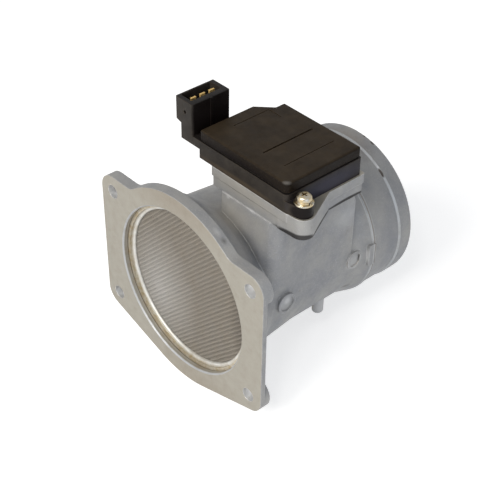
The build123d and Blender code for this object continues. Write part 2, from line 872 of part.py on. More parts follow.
chip_capacitors.part.label = "chip_capacitors"
export_step(chip_capacitors.part, "parts/chip_capacitors.step")

# Measuring channel: stem into the duct with a window along the flow
with BuildPart() as probe_body:
    with BuildSketch(Plane.XY.offset(probe_bottom)):
        with Locations((probe_x, probe_y)):
            RectangleRounded(probe_width, probe_length, probe_corner_r)
    extrude(amount=platform_top - probe_shoulder - probe_bottom)
    with BuildSketch(Plane.XY.offset(platform_top - probe_shoulder)):
        with Locations((probe_x, probe_y)):
            RectangleRounded(shoulder_x, shoulder_y, probe_corner_r)
    extrude(amount=probe_shoulder)
    with BuildSketch(Plane.XY.offset(platform_top)):
        with Locations((probe_x, probe_y)):
            RectangleRounded(probe_neck_x, probe_neck_y, probe_neck_corner_r)
    extrude(amount=base_floor)
    with BuildSketch(Plane.XZ.offset(-probe_y)):
        with Locations((probe_x, channel_z)):
            RectangleRounded(channel_width, channel_height, channel_corner_r)
    extrude(amount=probe_length, both=True, mode=Mode.SUBTRACT)

probe_body.part.label = "probe_body"
export_step(probe_body.part, "parts/probe_body.step")

# Posts and the two elements across them
with BuildPart() as wire_posts:
    with BuildSketch(Plane.XY.offset(channel_roof)):
        with Locations((probe_x, probe_y)):
            with GridLocations(post_spacing_x, post_spacing_y, 2, 2):
                Circle(post_d / 2)
    extrude(amount=-post_length)

wire_posts.part.label = "wire_posts"
export_step(wire_posts.part, "parts/wire_posts.step")

element_z = channel_roof - post_length + element_rise
for name, side in (("hot_wire_element", 1), ("cold_wire_element", -1)):
    with BuildPart() as element:
        with BuildSketch(Plane.YZ.offset(probe_x)):
            with Locations((probe_y + side * post_spacing_y / 2, element_z)):
                Circle(element_d / 2)
        extrude(amount=(post_spacing_x - post_d) / 2, both=True)
    element.part.label = name
    export_step(element.part, f"parts/{name}.step")

# Sleeves, washers and screws, each pair in one node
with BuildPart() as ear_bushes:
    for screw, height in zip(screws, ear_heights):
        with BuildSketch(Plane.XY.offset(platform_top)):
            with Locations(screw):
                Circle(bush_d / 2)
                Circle(washer_hole_r, mode=Mode.SUBTRACT)
        extrude(amount=height)

ear_bushes.part.label = "ear_bushes"
export_step(ear_bushes.part, "parts/ear_bushes.step")

with BuildPart() as flat_washers:
    for screw, height in zip(screws, ear_heights):
        with BuildSketch(Plane.XY.offset(platform_top + height)):
            with Locations(screw):
                Circle(flat_washer_d / 2)
                Circle(washer_hole_r, mode=Mode.SUBTRACT)
        extrude(amount=flat_washer_h)
    top_faces = flat_washers.faces().filter_by(Plane.XY).group_by(lambda face: face.normal_at().Z)[-1]
    fillet(top_faces.edges().group_by(SortBy.RADIUS)[-1], radius=flat_washer_round)

flat_washers.part.label = "flat_washers"
export_step(flat_washers.part, "parts/flat_washers.step")

with BuildPart() as spring_washers:
    for screw, height in zip(screws, ear_heights):
        with BuildSketch(Plane.XY.offset(platform_top + height + flat_washer_h)):
            with Locations(screw):
                Circle(spring_washer_d / 2)
                Circle(washer_hole_r, mode=Mode.SUBTRACT)
            with Locations((screw[0] + spring_washer_d / 2, screw[1])):
                Rectangle(
                    spring_washer_d, spring_washer_gap, rotation=spring_washer_angle, mode=Mode.SUBTRACT
                )
        extrude(amount=spring_washer_h)

spring_washers.part.label = "spring_washers"
export_step(spring_washers.part, "parts/spring_washers.step")

# Pan-head screws with a cross recess
with BuildPart() as module_screws:
    for screw, height in zip(screws, ear_heights):
        seat = platform_top + height + head_lift
        with BuildSketch(Plane.XY.offset(seat)):
            with Locations(screw):
                Circle(screw_head_d / 2)
        head = extrude(amount=screw_head_h)
        fillet(head.edges().group_by(Axis.Z)[-1], radius=screw_head_round)
        with BuildSketch(Plane.XY.offset(seat)):
            with Locations(screw):
                Circle(screw_d / 2)
        shank = extrude(amount=-screw_length)
        chamfer(shank.edges().group_by(Axis.Z)[0], length=screw_point)
        with BuildSketch(Plane.XY.offset(seat + screw_head_h)):
            with Locations(screw):
                Rectangle(screw_recess_d, screw_recess_width)
                Rectangle(screw_recess_width, screw_recess_d)
        extrude(amount=-screw_recess_depth, mode=Mode.SUBTRACT)

module_screws.part.label = "module_screws"
export_step(module_screws.part, "parts/module_screws.step")

# Snap ring: flat open ring in the bore's groove
with BuildPart() as screen_snap_ring:
    with BuildSketch(duct_plane.offset(-snap_groove_y - snap_ring_side_gap)):
        Circle(screen_bore_r + snap_groove_depth - 2 * snap_ring_side_gap)
        Circle(snap_ring_inner_r, mode=Mode.SUBTRACT)
        with Locations((0, screen_bore_r)):
            Rectangle(snap_ring_opening, screen_bore_r / 2, mode=Mode.SUBTRACT)
    extrude(amount=-(snap_groove_width - 2 * snap_ring_side_gap))

screen_snap_ring.part.label = "screen_snap_ring"
export_step(screen_snap_ring.part, "parts/screen_snap_ring.step")

# Screen frame: ring with a rounded front and a groove that grips the mesh
with BuildPart() as screen_frame:
    with BuildSketch(Plane.XY):
        with Locations((screen_frame_inner_r, screen_frame_y)):
            Rectangle(
                screen_frame_width,
                screen_bore_depth - screen_frame_y,
                align=(Align.MIN, Align.MIN),
            )
        with Locations((screen_frame_inner_r, screen_y)):
            Rectangle(screen_edge_grip, 2 * screen_layer, align=(Align.MIN, Align.CENTER), mode=Mode.SUBTRACT)
    revolve(axis=Axis.Y)
    fillet(screen_frame.edges().group_by(Axis.Y)[0], radius=screen_frame_round)

screen_frame.part.label = "screen_frame"
export_step(screen_frame.part, "parts/screen_frame.step")

# Inlet screen: two layers of crossing strands inside a thin rim
with BuildPart() as inlet_screen:
    strand_count = int(2 * screen_grip_r / screen_pitch) - 1
    for layer in (0, 1):
        with BuildSketch(duct_plane.offset(-screen_y + layer * screen_layer)):
            with Locations(Rotation(0, 0, screen_weave_angle + 90 * layer)):
                with GridLocations(screen_pitch, 1, strand_count, 1):
                    Rectangle(screen_bar, 2 * screen_grip_r)
            Circle(screen_grip_r - screen_rim / 2, mode=Mode.INTERSECT)
        extrude(amount=-screen_layer)
        with BuildSketch(duct_plane.offset(-screen_y + layer * screen_layer)):
            Circle(screen_grip_r)
            Circle(screen_grip_r - screen_rim, mode=Mode.SUBTRACT)
        extrude(amount=-screen_layer)

inlet_screen.part.label = "inlet_screen"
export_step(inlet_screen.part, "parts/inlet_screen.step")
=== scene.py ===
"""Dresses the solids of a mass airflow sensor: finishes, woven screen, light and camera.

Metres, in the part's own frame: +Y runs along the duct from the inlet flange to the hose
spigot, +Z points up to the sensor module, and the origin is the centre of the flange's front.
"""

import logging
import math
from dataclasses import dataclass
from enum import Enum, IntEnum
from typing import Callable, Optional, Sequence, Union

import bmesh
import bpy
from mathutils import Euler, Matrix, Vector


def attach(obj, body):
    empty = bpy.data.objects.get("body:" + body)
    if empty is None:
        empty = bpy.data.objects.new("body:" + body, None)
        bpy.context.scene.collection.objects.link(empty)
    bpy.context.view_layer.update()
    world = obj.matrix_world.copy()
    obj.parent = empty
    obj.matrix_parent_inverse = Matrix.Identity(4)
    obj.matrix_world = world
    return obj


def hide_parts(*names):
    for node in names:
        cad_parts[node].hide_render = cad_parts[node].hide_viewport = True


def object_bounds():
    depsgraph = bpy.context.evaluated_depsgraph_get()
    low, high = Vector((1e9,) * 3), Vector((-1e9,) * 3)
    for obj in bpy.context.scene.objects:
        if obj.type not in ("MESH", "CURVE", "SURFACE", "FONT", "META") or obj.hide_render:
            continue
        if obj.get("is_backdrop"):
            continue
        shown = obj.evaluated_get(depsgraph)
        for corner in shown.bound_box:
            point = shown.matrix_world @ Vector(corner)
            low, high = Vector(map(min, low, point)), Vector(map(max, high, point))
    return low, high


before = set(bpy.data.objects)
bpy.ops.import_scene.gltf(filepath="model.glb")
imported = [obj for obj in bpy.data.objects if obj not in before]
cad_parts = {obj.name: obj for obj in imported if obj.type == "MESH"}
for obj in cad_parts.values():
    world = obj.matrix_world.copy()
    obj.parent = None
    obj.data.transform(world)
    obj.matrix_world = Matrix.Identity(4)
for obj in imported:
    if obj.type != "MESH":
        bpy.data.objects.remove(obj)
CAD_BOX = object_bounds()

MM = 0.001
LOG = logging.getLogger("airflow_sensor")
Colour = tuple[float, float, float]
Triple = tuple[float, float, float]
Socket = bpy.types.NodeSocket
Number = Union[Socket, float]
Paint = Union[Socket, Colour]

# Rays that find a rounded edge and a nook, in each shading sample.
EDGE_RAYS = 6
NOOK_RAYS = 8

# Points nearer than this are one point, and edges sharper than this in degrees stay crisp.
WELD = 0.002 * MM
CRISP_ANGLE = 32.0

# Shades of dirt, tint and bare metal, and of painted light and shade, that marks are laid in.
# Grime, also used for painted shade and shadow.
GRIME_AND_SHADE: Colour = (0.03, 0.021, 0.014)
TARNISH: Colour = (0.2, 0.15, 0.1)
# Painted warm light.
WARM_LIGHT: Colour = (0.44, 0.4, 0.33)
# Painted cool shade.
COOL_SHADE: Colour = (0.15, 0.165, 0.2)
# Bare metal, also used for painted highlights, glints and light.
BARE_AND_HIGHLIGHT: Colour = (0.62, 0.62, 0.62)
# Painted shade and shadow.
PAINTED_SHADE: Colour = (0.003, 0.0015, 0.0015)
# Dust, also used for a painted highlight on moulded edges.
DUST_AND_HIGHLIGHT: Colour = (0.1, 0.072, 0.045)
# Painted cool light.
COOL_SIDE_LIGHT: Colour = (0.035, 0.034, 0.058)


@dataclass(frozen=True)
class Layer:
    """One noise layer of a finish, and the noise values between which it fades in.

    Attributes:
        size: Width of its patches in millimetres.
        detail: Number of finer layers in the noise.
        rough: Strength of those finer layers.
        low: Noise value at which it starts.
        high: Noise value at which it is full.
    """

    size: float
    detail: float = 3.0
    rough: float = 0.55
    low: float = 0.3
    high: float = 0.7


@dataclass(frozen=True)
class Mark:
    """Small stain, dent, rubbed place, film, painted shade or painted highlight: an ellipsoid in the part's
    frame.

    Attributes:
        shade: Its colour.
        place: Its centre in millimetres.
        half: Its half sizes in millimetres.
        turn: Its turn about X, Y and Z in degrees.
        strength: How far its colour covers the one below.
        softness: Share of the way in from its rim over which it fades in.
    """

    shade: Colour
    place: Triple
    half: Triple
    turn: Triple = (0.0, 0.0, 0.0)
    strength: float = 0.8
    softness: float = 0.6


class Board:
    """Adds nodes to one tree: a material's, the world's or a Geometry Nodes tree."""

    def __init__(self, tree: bpy.types.NodeTree) -> None:
        """Take a tree and clear it.

        Args:
            tree: The tree.
        """
        self.nodes = tree.nodes
        self.links = tree.links
        self.nodes.clear()

    def feed(self, socket: Socket, value: object) -> None:
        """Link an input, or set it.

        Args:
            socket: The input.
            value: An output to link, a colour as a tuple, or any other plain value.
        """
        if isinstance(value, bpy.types.NodeSocket):
            self.links.new(value, socket)
        elif isinstance(value, tuple):
            socket.default_value = (*value, 1.0)
        else:
            socket.default_value = value

    def add(
        self, kind: str, settings: Optional[dict[str, object]] = None, **inputs: object
    ) -> bpy.types.Node:
        """Add a node and feed its inputs, with underscores for the spaces in their names.

        Args:
            kind: The node's type.
            settings: Properties that are set first, such as its mode.
            inputs: What each named input gets.

        Returns:
            The node.
        """
        node = self.nodes.new(kind)
        for name, value in (settings or {}).items():
            setattr(node, name, value)
        for name, value in inputs.items():
            self.feed(node.inputs[name.replace("_", " ")], value)
        return node

    def maths(self, operation: str, first: Number, second: Number = 0.0) -> Socket:
        """One sum on sockets or numbers.

        Args:
            operation: Its kind, such as MULTIPLY.
            first: What it starts from.
            second: What it takes in, if anything.

        Returns:
            The result.
        """
        node = self.add("ShaderNodeMath", {"operation": operation})
        self.feed(node.inputs[0], first)
        self.feed(node.inputs[1], second)
        return node.outputs[0]

    def measure(self, operation: str, first: Socket, second: Union[Socket, Vector, None] = None) -> Socket:
        """A number taken from one vector or two.

        Args:
            operation: Its kind, LENGTH or DOT_PRODUCT.
            first: The vector.
            second: The other vector, where there is one.

        Returns:
            The number.
        """
        node = self.add("ShaderNodeVectorMath", {"operation": operation})
        self.feed(node.inputs[0], first)
        if second is not None:
            self.feed(node.inputs[1], second)
        return node.outputs["Value"]

    def seen(self) -> Socket:
        """Factor that is 1 where the camera, gloss or glass looks, and 0 for soft light.

        Returns:
            The factor.
        """
        path = self.add("ShaderNodeLightPath").outputs
        factor = self.maths("MAXIMUM", path["Is Camera Ray"], path["Is Glossy Ray"])
        return self.maths("MAXIMUM", factor, path["Is Transmission Ray"])


class FinishBoard(Board):
    """Lays out one finish around a Principled shader.

    Attributes:
        WORN_AND_HIGHLIT_TURN: Cosines of an eased edge's turn at which wear and painted highlight start and
            at which they are full.
        WORN_AND_HIGHLIT_PATCHES: Noise that breaks the wear and painted highlight up.
        WORN_AND_HIGHLIT_LEAST: Share of them that is left between those patches.
    """

    WORN_AND_HIGHLIT_TURN = (0.98, 0.8)
    WORN_AND_HIGHLIT_PATCHES = Layer(2.5, low=0.3, high=0.6)
    WORN_AND_HIGHLIT_LEAST = 0.3

    def __init__(self, name: str) -> None:
        """Start a material with a shader, an output and the object's own coordinates.

        Args:
            name: Name of the new material.
        """
        self.material = bpy.data.materials.new(name)
        self.material.use_nodes = True
        super().__init__(self.material.node_tree)
        self.shader = self.add("ShaderNodeBsdfPrincipled")
        self.add("ShaderNodeOutputMaterial", Surface=self.shader.outputs["BSDF"])
        self.place: Socket = self.add("ShaderNodeTexCoord").outputs["Object"]

    def finished(self, **values: object) -> bpy.types.Material:
        """Feed the shader's inputs, with underscores for the spaces in their names.

        Args:
            values: What each named input gets.

        Returns:
            The finished material.
        """
        for name, value in values.items():
            self.feed(self.shader.inputs[name.replace("_", " ")], value)
        return self.material

    def stretched(self, factors: Sequence[float]) -> Socket:
        """The object's coordinates, scaled by a factor along X, Y and Z."""
        return self.add("ShaderNodeMapping", Scale=list(factors), Vector=self.place).outputs["Vector"]

    def noise(
        self, size: float, detail: float = 3.0, rough: float = 0.55, place: Optional[Socket] = None
    ) -> Socket:
        """Noise from 0 to 1.

        Args:
            size: Width of its patches in millimetres.
            detail: Number of finer layers.
            rough: Strength of the finer layers.
            place: Coordinates to read, or None for the object's own.

        Returns:
            The noise's factor.
        """
        scale = 1.0 / (size * MM)
        vector = place or self.place
        node = self.add("ShaderNodeTexNoise", Scale=scale, Detail=detail, Roughness=rough, Vector=vector)
        return node.outputs["Fac"]

    def turned_rings(self, pitch: float) -> Socket:
        """Irregular rings round the duct axis, as a lathe leaves them.

        Args:
            pitch: Width of a ring in millimetres.

        Returns:
            A factor that changes with the radius and the place along the duct only.
        """
        radius = self.measure("LENGTH", self.stretched((1.0, 0.0, 1.0)))
        along = self.add("ShaderNodeSeparateXYZ", Vector=self.place).outputs["Y"]
        joined = self.add("ShaderNodeCombineXYZ", X=radius, Y=along)
        return self.noise(pitch, detail=2.0, place=joined.outputs[0])

    def spread(
        self, factor: Socket, low: float, high: float, to_low: float = 0.0, to_high: float = 1.0
    ) -> Socket:
        """Stretch a factor's range.

        Args:
            factor: The factor to read.
            low: Its value that becomes to_low.
            high: Its value that becomes to_high.
            to_low: New value at low.
            to_high: New value at high.

        Returns:
            The clamped new factor.
        """
        node = self.add("ShaderNodeMapRange", Value=factor, From_Min=low, From_Max=high)
        self.feed(node.inputs["To Min"], to_low)
        self.feed(node.inputs["To Max"], to_high)
        return node.outputs["Result"]

    def layer(self, layer: Layer, least: float = 0.0, most: float = 1.0) -> Socket:
        """Factor of a noise layer, from least where it doesn't show to most where it is full."""
        noise = self.noise(layer.size, layer.detail, layer.rough)
        return self.spread(noise, layer.low, layer.high, least, most)

    def eased(self, radius: float) -> Socket:
        """Normal with the edges eased over a radius in millimetres, as casting and moulding leave them."""
        return self.add("ShaderNodeBevel", {"samples": EDGE_RAYS}, Radius=radius * MM).outputs["Normal"]

    def nook(self, reach: float, free: float, shut: float, strength: float) -> Socket:
        """Factor that is 0 in the open and rises in nooks, for grime and painted shade.

        Args:
            reach: Width in millimetres of the nooks that are found.
            free: Openness at which the factor starts.
            shut: Openness at which it is full.
            strength: Its full value.

        Returns:
            The factor.
        """
        node = self.add("ShaderNodeAmbientOcclusion", {"samples": NOOK_RAYS}, Distance=reach * MM)
        openness = node.outputs["AO"]
        return self.spread(openness, free, shut, 0.0, strength)

    def worn_and_highlit(self, radius: float, strength: float) -> Socket:
        """Patchy factor that rises towards sharp edges, where handling rubs a surface bare, and that also
        paints a highlight along them.

        Args:
            radius: Reach from the edge in millimetres.
            strength: Most that the factor reaches.

        Returns:
            The factor.
        """
        flat = self.add("ShaderNodeNewGeometry").outputs["Normal"]
        turned = self.measure("DOT_PRODUCT", self.eased(radius), flat)
        edge = self.spread(turned, *self.WORN_AND_HIGHLIT_TURN, 0.0, strength)
        return self.maths("MULTIPLY", edge, self.layer(self.WORN_AND_HIGHLIT_PATCHES, least=self.WORN_AND_HIGHLIT_LEAST))

    def facing(self, direction: Sequence[float]) -> Socket:
        """Cosine between the surface and a direction of the part's frame, of any length."""
        normal = self.add("ShaderNodeNewGeometry").outputs["Normal"]
        return self.measure("DOT_PRODUCT", normal, Vector(direction).normalized())

    def spot(self, mark: Mark) -> Socket:
        """Soft factor that is 0 outside a mark and its strength inside.

        Args:
            mark: The mark.

        Returns:
            The factor.
        """
        inside = self.add(
            "ShaderNodeMapping",
            {"vector_type": "TEXTURE"},
            Vector=self.place,
            Location=[value * MM for value in mark.place],
            Rotation=[math.radians(angle) for angle in mark.turn],
            Scale=[value * MM for value in mark.half],
        )
        length = self.measure("LENGTH", inside.outputs["Vector"])
        return self.spread(length, 1.0, 1.0 - mark.softness, 0.0, mark.strength)

    def marked(self, colour: Socket, marks: Sequence[Mark]) -> Socket:
        """Lay marks over a colour, in their order.

        Args:
            colour: The colour below.
            marks: The marks.

        Returns:
            The marked colour.
        """
        for mark in marks:
            colour = self.blend(self.spot(mark), colour, mark.shade)
        return colour

    def blend(self, factor: Socket, first: Paint, second: Paint) -> Socket:
        """Mix two colours by a factor.

        Args:
            factor: 0 gives first, 1 gives second.
            first: A colour or a colour socket.
            second: A colour or a colour socket.

        Returns:
            The mixed colour.
        """
        node = self.add("ShaderNodeMix", {"data_type": "RGBA"}, Factor=factor)
        for name, value in (("A", first), ("B", second)):
            self.feed(next(s for s in node.inputs if s.name == name and s.type == "RGBA"), value)
        return next(s for s in node.outputs if s.type == "RGBA")

    def bump(self, height: Socket, depth: float, share: float, below: Optional[Socket] = None) -> Socket:
        """Normal that follows a height.

        Args:
            height: Height factor from 0 to 1.
            depth: Height in millimetres that a factor of 1 stands for.
            share: Share of the effect that shows.
            below: Normal of a coarser bump under this one.

        Returns:
            The bumped normal.
        """
        node = self.add("ShaderNodeBump", Strength=share, Distance=depth * MM, Height=height)
        if below is not None:
            self.feed(node.inputs["Normal"], below)
        return node.outputs["Normal"]


@dataclass(frozen=True)
class CastSkin:
    """Cast light alloy: fine sand grain, cloudy tone, grime and painted shade in the nooks, faint dark
    stains.
    """

    name: str
    tone: Colour
    cloud: Colour
    stain: Colour
    metallic: float = 0.35
    roughness: float = 0.55
    nook_grime_and_shade: float = 0.4
    marks: tuple[Mark, ...] = ()
    clouds: Layer = Layer(16.0, 4.0, 0.6, 0.35, 0.65)
    specks: Layer = Layer(0.9, 2.0, low=0.35, high=0.7)
    speckled: float = 0.3
    stains: Layer = Layer(4.0, 5.0, 0.7, 0.6, 0.8)
    stained: float = 0.4
    glints: Layer = Layer(0.5, 2.0, low=0.6, high=0.72)
    glinting: float = 0.3
    wear_and_highlight_reach: float = 1.1
    wear_and_highlight: float = 0.55
    nook_reach: float = 4.0
    nook_free: float = 0.75
    nook_shut: float = 0.15
    edge: float = 0.7
    swell: Layer = Layer(6.0, 2.0)
    swell_depth: float = 0.2
    swell_share: float = 0.35
    grain: Layer = Layer(0.7, 4.0, 0.6)
    grain_depth: float = 0.05
    grain_share: float = 0.7
    sheen: Layer = Layer(3.0)
    smoother: float = 0.08
    rougher: float = 0.1

    def material(self) -> bpy.types.Material:
        """Build the material.

        Returns:
            The material.
        """
        board = FinishBoard(self.name)
        colour = board.blend(board.layer(self.clouds), self.tone, self.cloud)
        colour = board.blend(board.layer(self.specks, most=self.speckled), colour, self.cloud)
        colour = board.blend(board.layer(self.stains, most=self.stained), colour, self.stain)
        # Painted glints: small bright specks laid into the colour.
        colour = board.blend(board.layer(self.glints, most=self.glinting), colour, BARE_AND_HIGHLIGHT)
        # Edges rubbed bare, partly as a painted highlight.
        colour = board.blend(board.worn_and_highlit(self.wear_and_highlight_reach, self.wear_and_highlight), colour, BARE_AND_HIGHLIGHT)
        # Grime and painted shade in the nooks.
        nook = board.nook(self.nook_reach, self.nook_free, self.nook_shut, self.nook_grime_and_shade)
        colour = board.marked(board.blend(nook, colour, self.stain), self.marks)
        swell = board.noise(self.swell.size, self.swell.detail, self.swell.rough)
        coarse = board.bump(swell, self.swell_depth, self.swell_share, board.eased(self.edge))
        grain = board.noise(self.grain.size, self.grain.detail, self.grain.rough)
        normal = board.bump(grain, self.grain_depth, self.grain_share, coarse)
        rough = board.layer(self.sheen, self.roughness - self.smoother, self.roughness + self.rougher)
        return board.finished(Base_Color=colour, Metallic=self.metallic, Roughness=rough, Normal=normal)


@dataclass(frozen=True)
class MachinedSkin:
    """Machined light alloy: turned rings or a milled sheen, faint stains."""

    name: str
    tone: Colour
    stain: Colour
    metallic: float = 0.5
    roughness: float = 0.45
    pitch: float = 0.35
    depth: float = 0.015
    stained: float = 0.5
    lined: float = 0.0
    marks: tuple[Mark, ...] = ()
    line: Colour = (0.06, 0.045, 0.03)
    line_from: float = 0.5
    line_full: float = 0.42
    stains: Layer = Layer(7.0, 5.0, 0.7, 0.5, 0.75)
    specks: Layer = Layer(1.1, low=0.6, high=0.72)
    speck_share: float = 0.5
    wear_and_highlight_reach: float = 0.8
    wear_and_highlight: float = 0.4
    nook_reach: float = 3.0
    nook_free: float = 0.6
    nook_shut: float = 0.1
    nook_grime_and_shade: float = 0.5
    edge: float = 0.35
    ring_share: float = 0.8
    grain: Layer = Layer(0.6, 2.0)
    grain_depth: float = 0.02
    grain_share: float = 0.5
    sheen: Layer = Layer(4.0, 4.0)
    smoother: float = 0.06
    rougher: float = 0.12

    def material(self) -> bpy.types.Material:
        """Build the material.

        Returns:
            The material.
        """
        board = FinishBoard(self.name)
        rings = board.turned_rings(self.pitch)
        colour = board.blend(board.layer(self.stains, most=self.stained), self.tone, self.stain)
        specks = board.layer(self.specks, most=self.speck_share * self.stained)
        colour = board.blend(specks, colour, self.stain)
        # Edges rubbed bare, partly as a painted highlight.
        colour = board.blend(board.worn_and_highlit(self.wear_and_highlight_reach, self.wear_and_highlight), colour, BARE_AND_HIGHLIGHT)
        # Grime and painted shade in the nooks.
        nook = board.nook(self.nook_reach, self.nook_free, self.nook_shut, self.nook_grime_and_shade)
        colour = board.blend(nook, colour, self.stain)
        if self.lined:
            line = board.spread(rings, self.line_from, self.line_full, 0.0, self.lined)
            colour = board.blend(line, colour, self.line)
        colour = board.marked(colour, self.marks)
        ringed = board.bump(rings, self.depth, self.ring_share, board.eased(self.edge))
        grain = board.noise(self.grain.size, self.grain.detail, self.grain.rough)
        normal = board.bump(grain, self.grain_depth, self.grain_share, ringed)
        rough = board.layer(self.sheen, self.roughness - self.smoother, self.roughness + self.rougher)
        return board.finished(Base_Color=colour, Metallic=self.metallic, Roughness=rough, Normal=normal)


@dataclass(frozen=True)
class MouldedSkin:
    """Moulded plastic or rubber: fine eroded grain, faint dust that on the base also stands for painted light
    on the sides facing the lamps, and rubbed patches that are partly a painted highlight.
    """

    name: str
    tone: Colour
    dust_and_light: Colour
    roughness: float = 0.45
    grain: float = 0.35
    grain_depth: float = 0.02
    dust_and_light_share: float = 0.35
    gloss: float = 0.25
    dust_and_light_facing: Triple = (0.0, 0.0, 1.0)
    marks: tuple[Mark, ...] = ()
    patches: Layer = Layer(9.0, 5.0, 0.65, 0.35, 0.7)
    patch_least: float = 0.4
    lie_from: float = 0.1
    lie_full: float = 0.9
    flecks: Layer = Layer(0.7, 2.0, low=0.55, high=0.75)
    fleck_share: float = 0.4
    wear_and_highlight_reach: float = 0.6
    wear_and_highlight: float = 0.35
    edge: float = 0.3
    grain_share: float = 0.7
    sheen: Layer = Layer(5.0, 4.0)
    smoother: float = 0.07
    rougher: float = 0.1

    def material(self) -> bpy.types.Material:
        """Build the material, with most dust where the surface faces the way it lies; on the base that way
        points to the lamps, so the dust there is also painted light.

        Returns:
            The material.
        """
        board = FinishBoard(self.name)
        # Dust on the surfaces that face one way; on the base that way faces the lamps, so it is also painted
        # light.
        lain = board.spread(board.facing(self.dust_and_light_facing), self.lie_from, self.lie_full, 0.0, self.dust_and_light_share)
        dust_and_light = board.maths("MULTIPLY", board.layer(self.patches, least=self.patch_least), lain)
        flecks = board.layer(self.flecks, most=self.fleck_share * self.dust_and_light_share)
        colour = board.blend(flecks, board.blend(dust_and_light, self.tone, self.dust_and_light), self.dust_and_light)
        # Edges rubbed light, partly as a painted highlight.
        colour = board.blend(board.worn_and_highlit(self.wear_and_highlight_reach, self.wear_and_highlight), colour, DUST_AND_HIGHLIGHT)
        colour = board.marked(colour, self.marks)
        grain = board.noise(self.grain)
        normal = board.bump(grain, self.grain_depth, self.grain_share, board.eased(self.edge))
        rough = board.layer(self.sheen, self.roughness - self.smoother, self.roughness + self.rougher)
        return board.finished(
            Base_Color=colour, Roughness=rough, Normal=normal, Specular_IOR_Level=self.gloss
        )


@dataclass(frozen=True)
class PlatedSkin:
    """Plated or drawn metal: bright, with a patchy tint and tiny scratches."""

    name: str
    tone: Colour
    tint: Colour
    metallic: float = 1.0
    roughness: float = 0.28
    patch: float = 2.5
    marks: tuple[Mark, ...] = ()
    patch_rough: float = 0.6
    patch_from: float = 0.38
    patch_full: float = 0.66
    scratches: Layer = Layer(0.25, 2.0)
    scratch_squeeze: float = 6.0
    scratch_depth: float = 0.01
    scratch_share: float = 0.5
    smoother: float = 0.06
    rougher: float = 0.14

    def material(self) -> bpy.types.Material:
        """Build the material.

        Returns:
            The material.
        """
        board = FinishBoard(self.name)
        patches = Layer(self.patch, rough=self.patch_rough, low=self.patch_from, high=self.patch_full)
        colour = board.blend(board.layer(patches), self.tone, self.tint)
        colour = board.marked(colour, self.marks)
        lines = self.scratches
        squeezed = board.stretched((1.0, self.scratch_squeeze, 1.0))
        scratch = board.noise(lines.size, lines.detail, lines.rough, squeezed)
        smooth, coarse = self.roughness - self.smoother, self.roughness + self.rougher
        rough = board.spread(scratch, lines.low, lines.high, smooth, coarse)
        normal = board.bump(scratch, self.scratch_depth, self.scratch_share)
        return board.finished(Base_Color=colour, Metallic=self.metallic, Roughness=rough, Normal=normal)


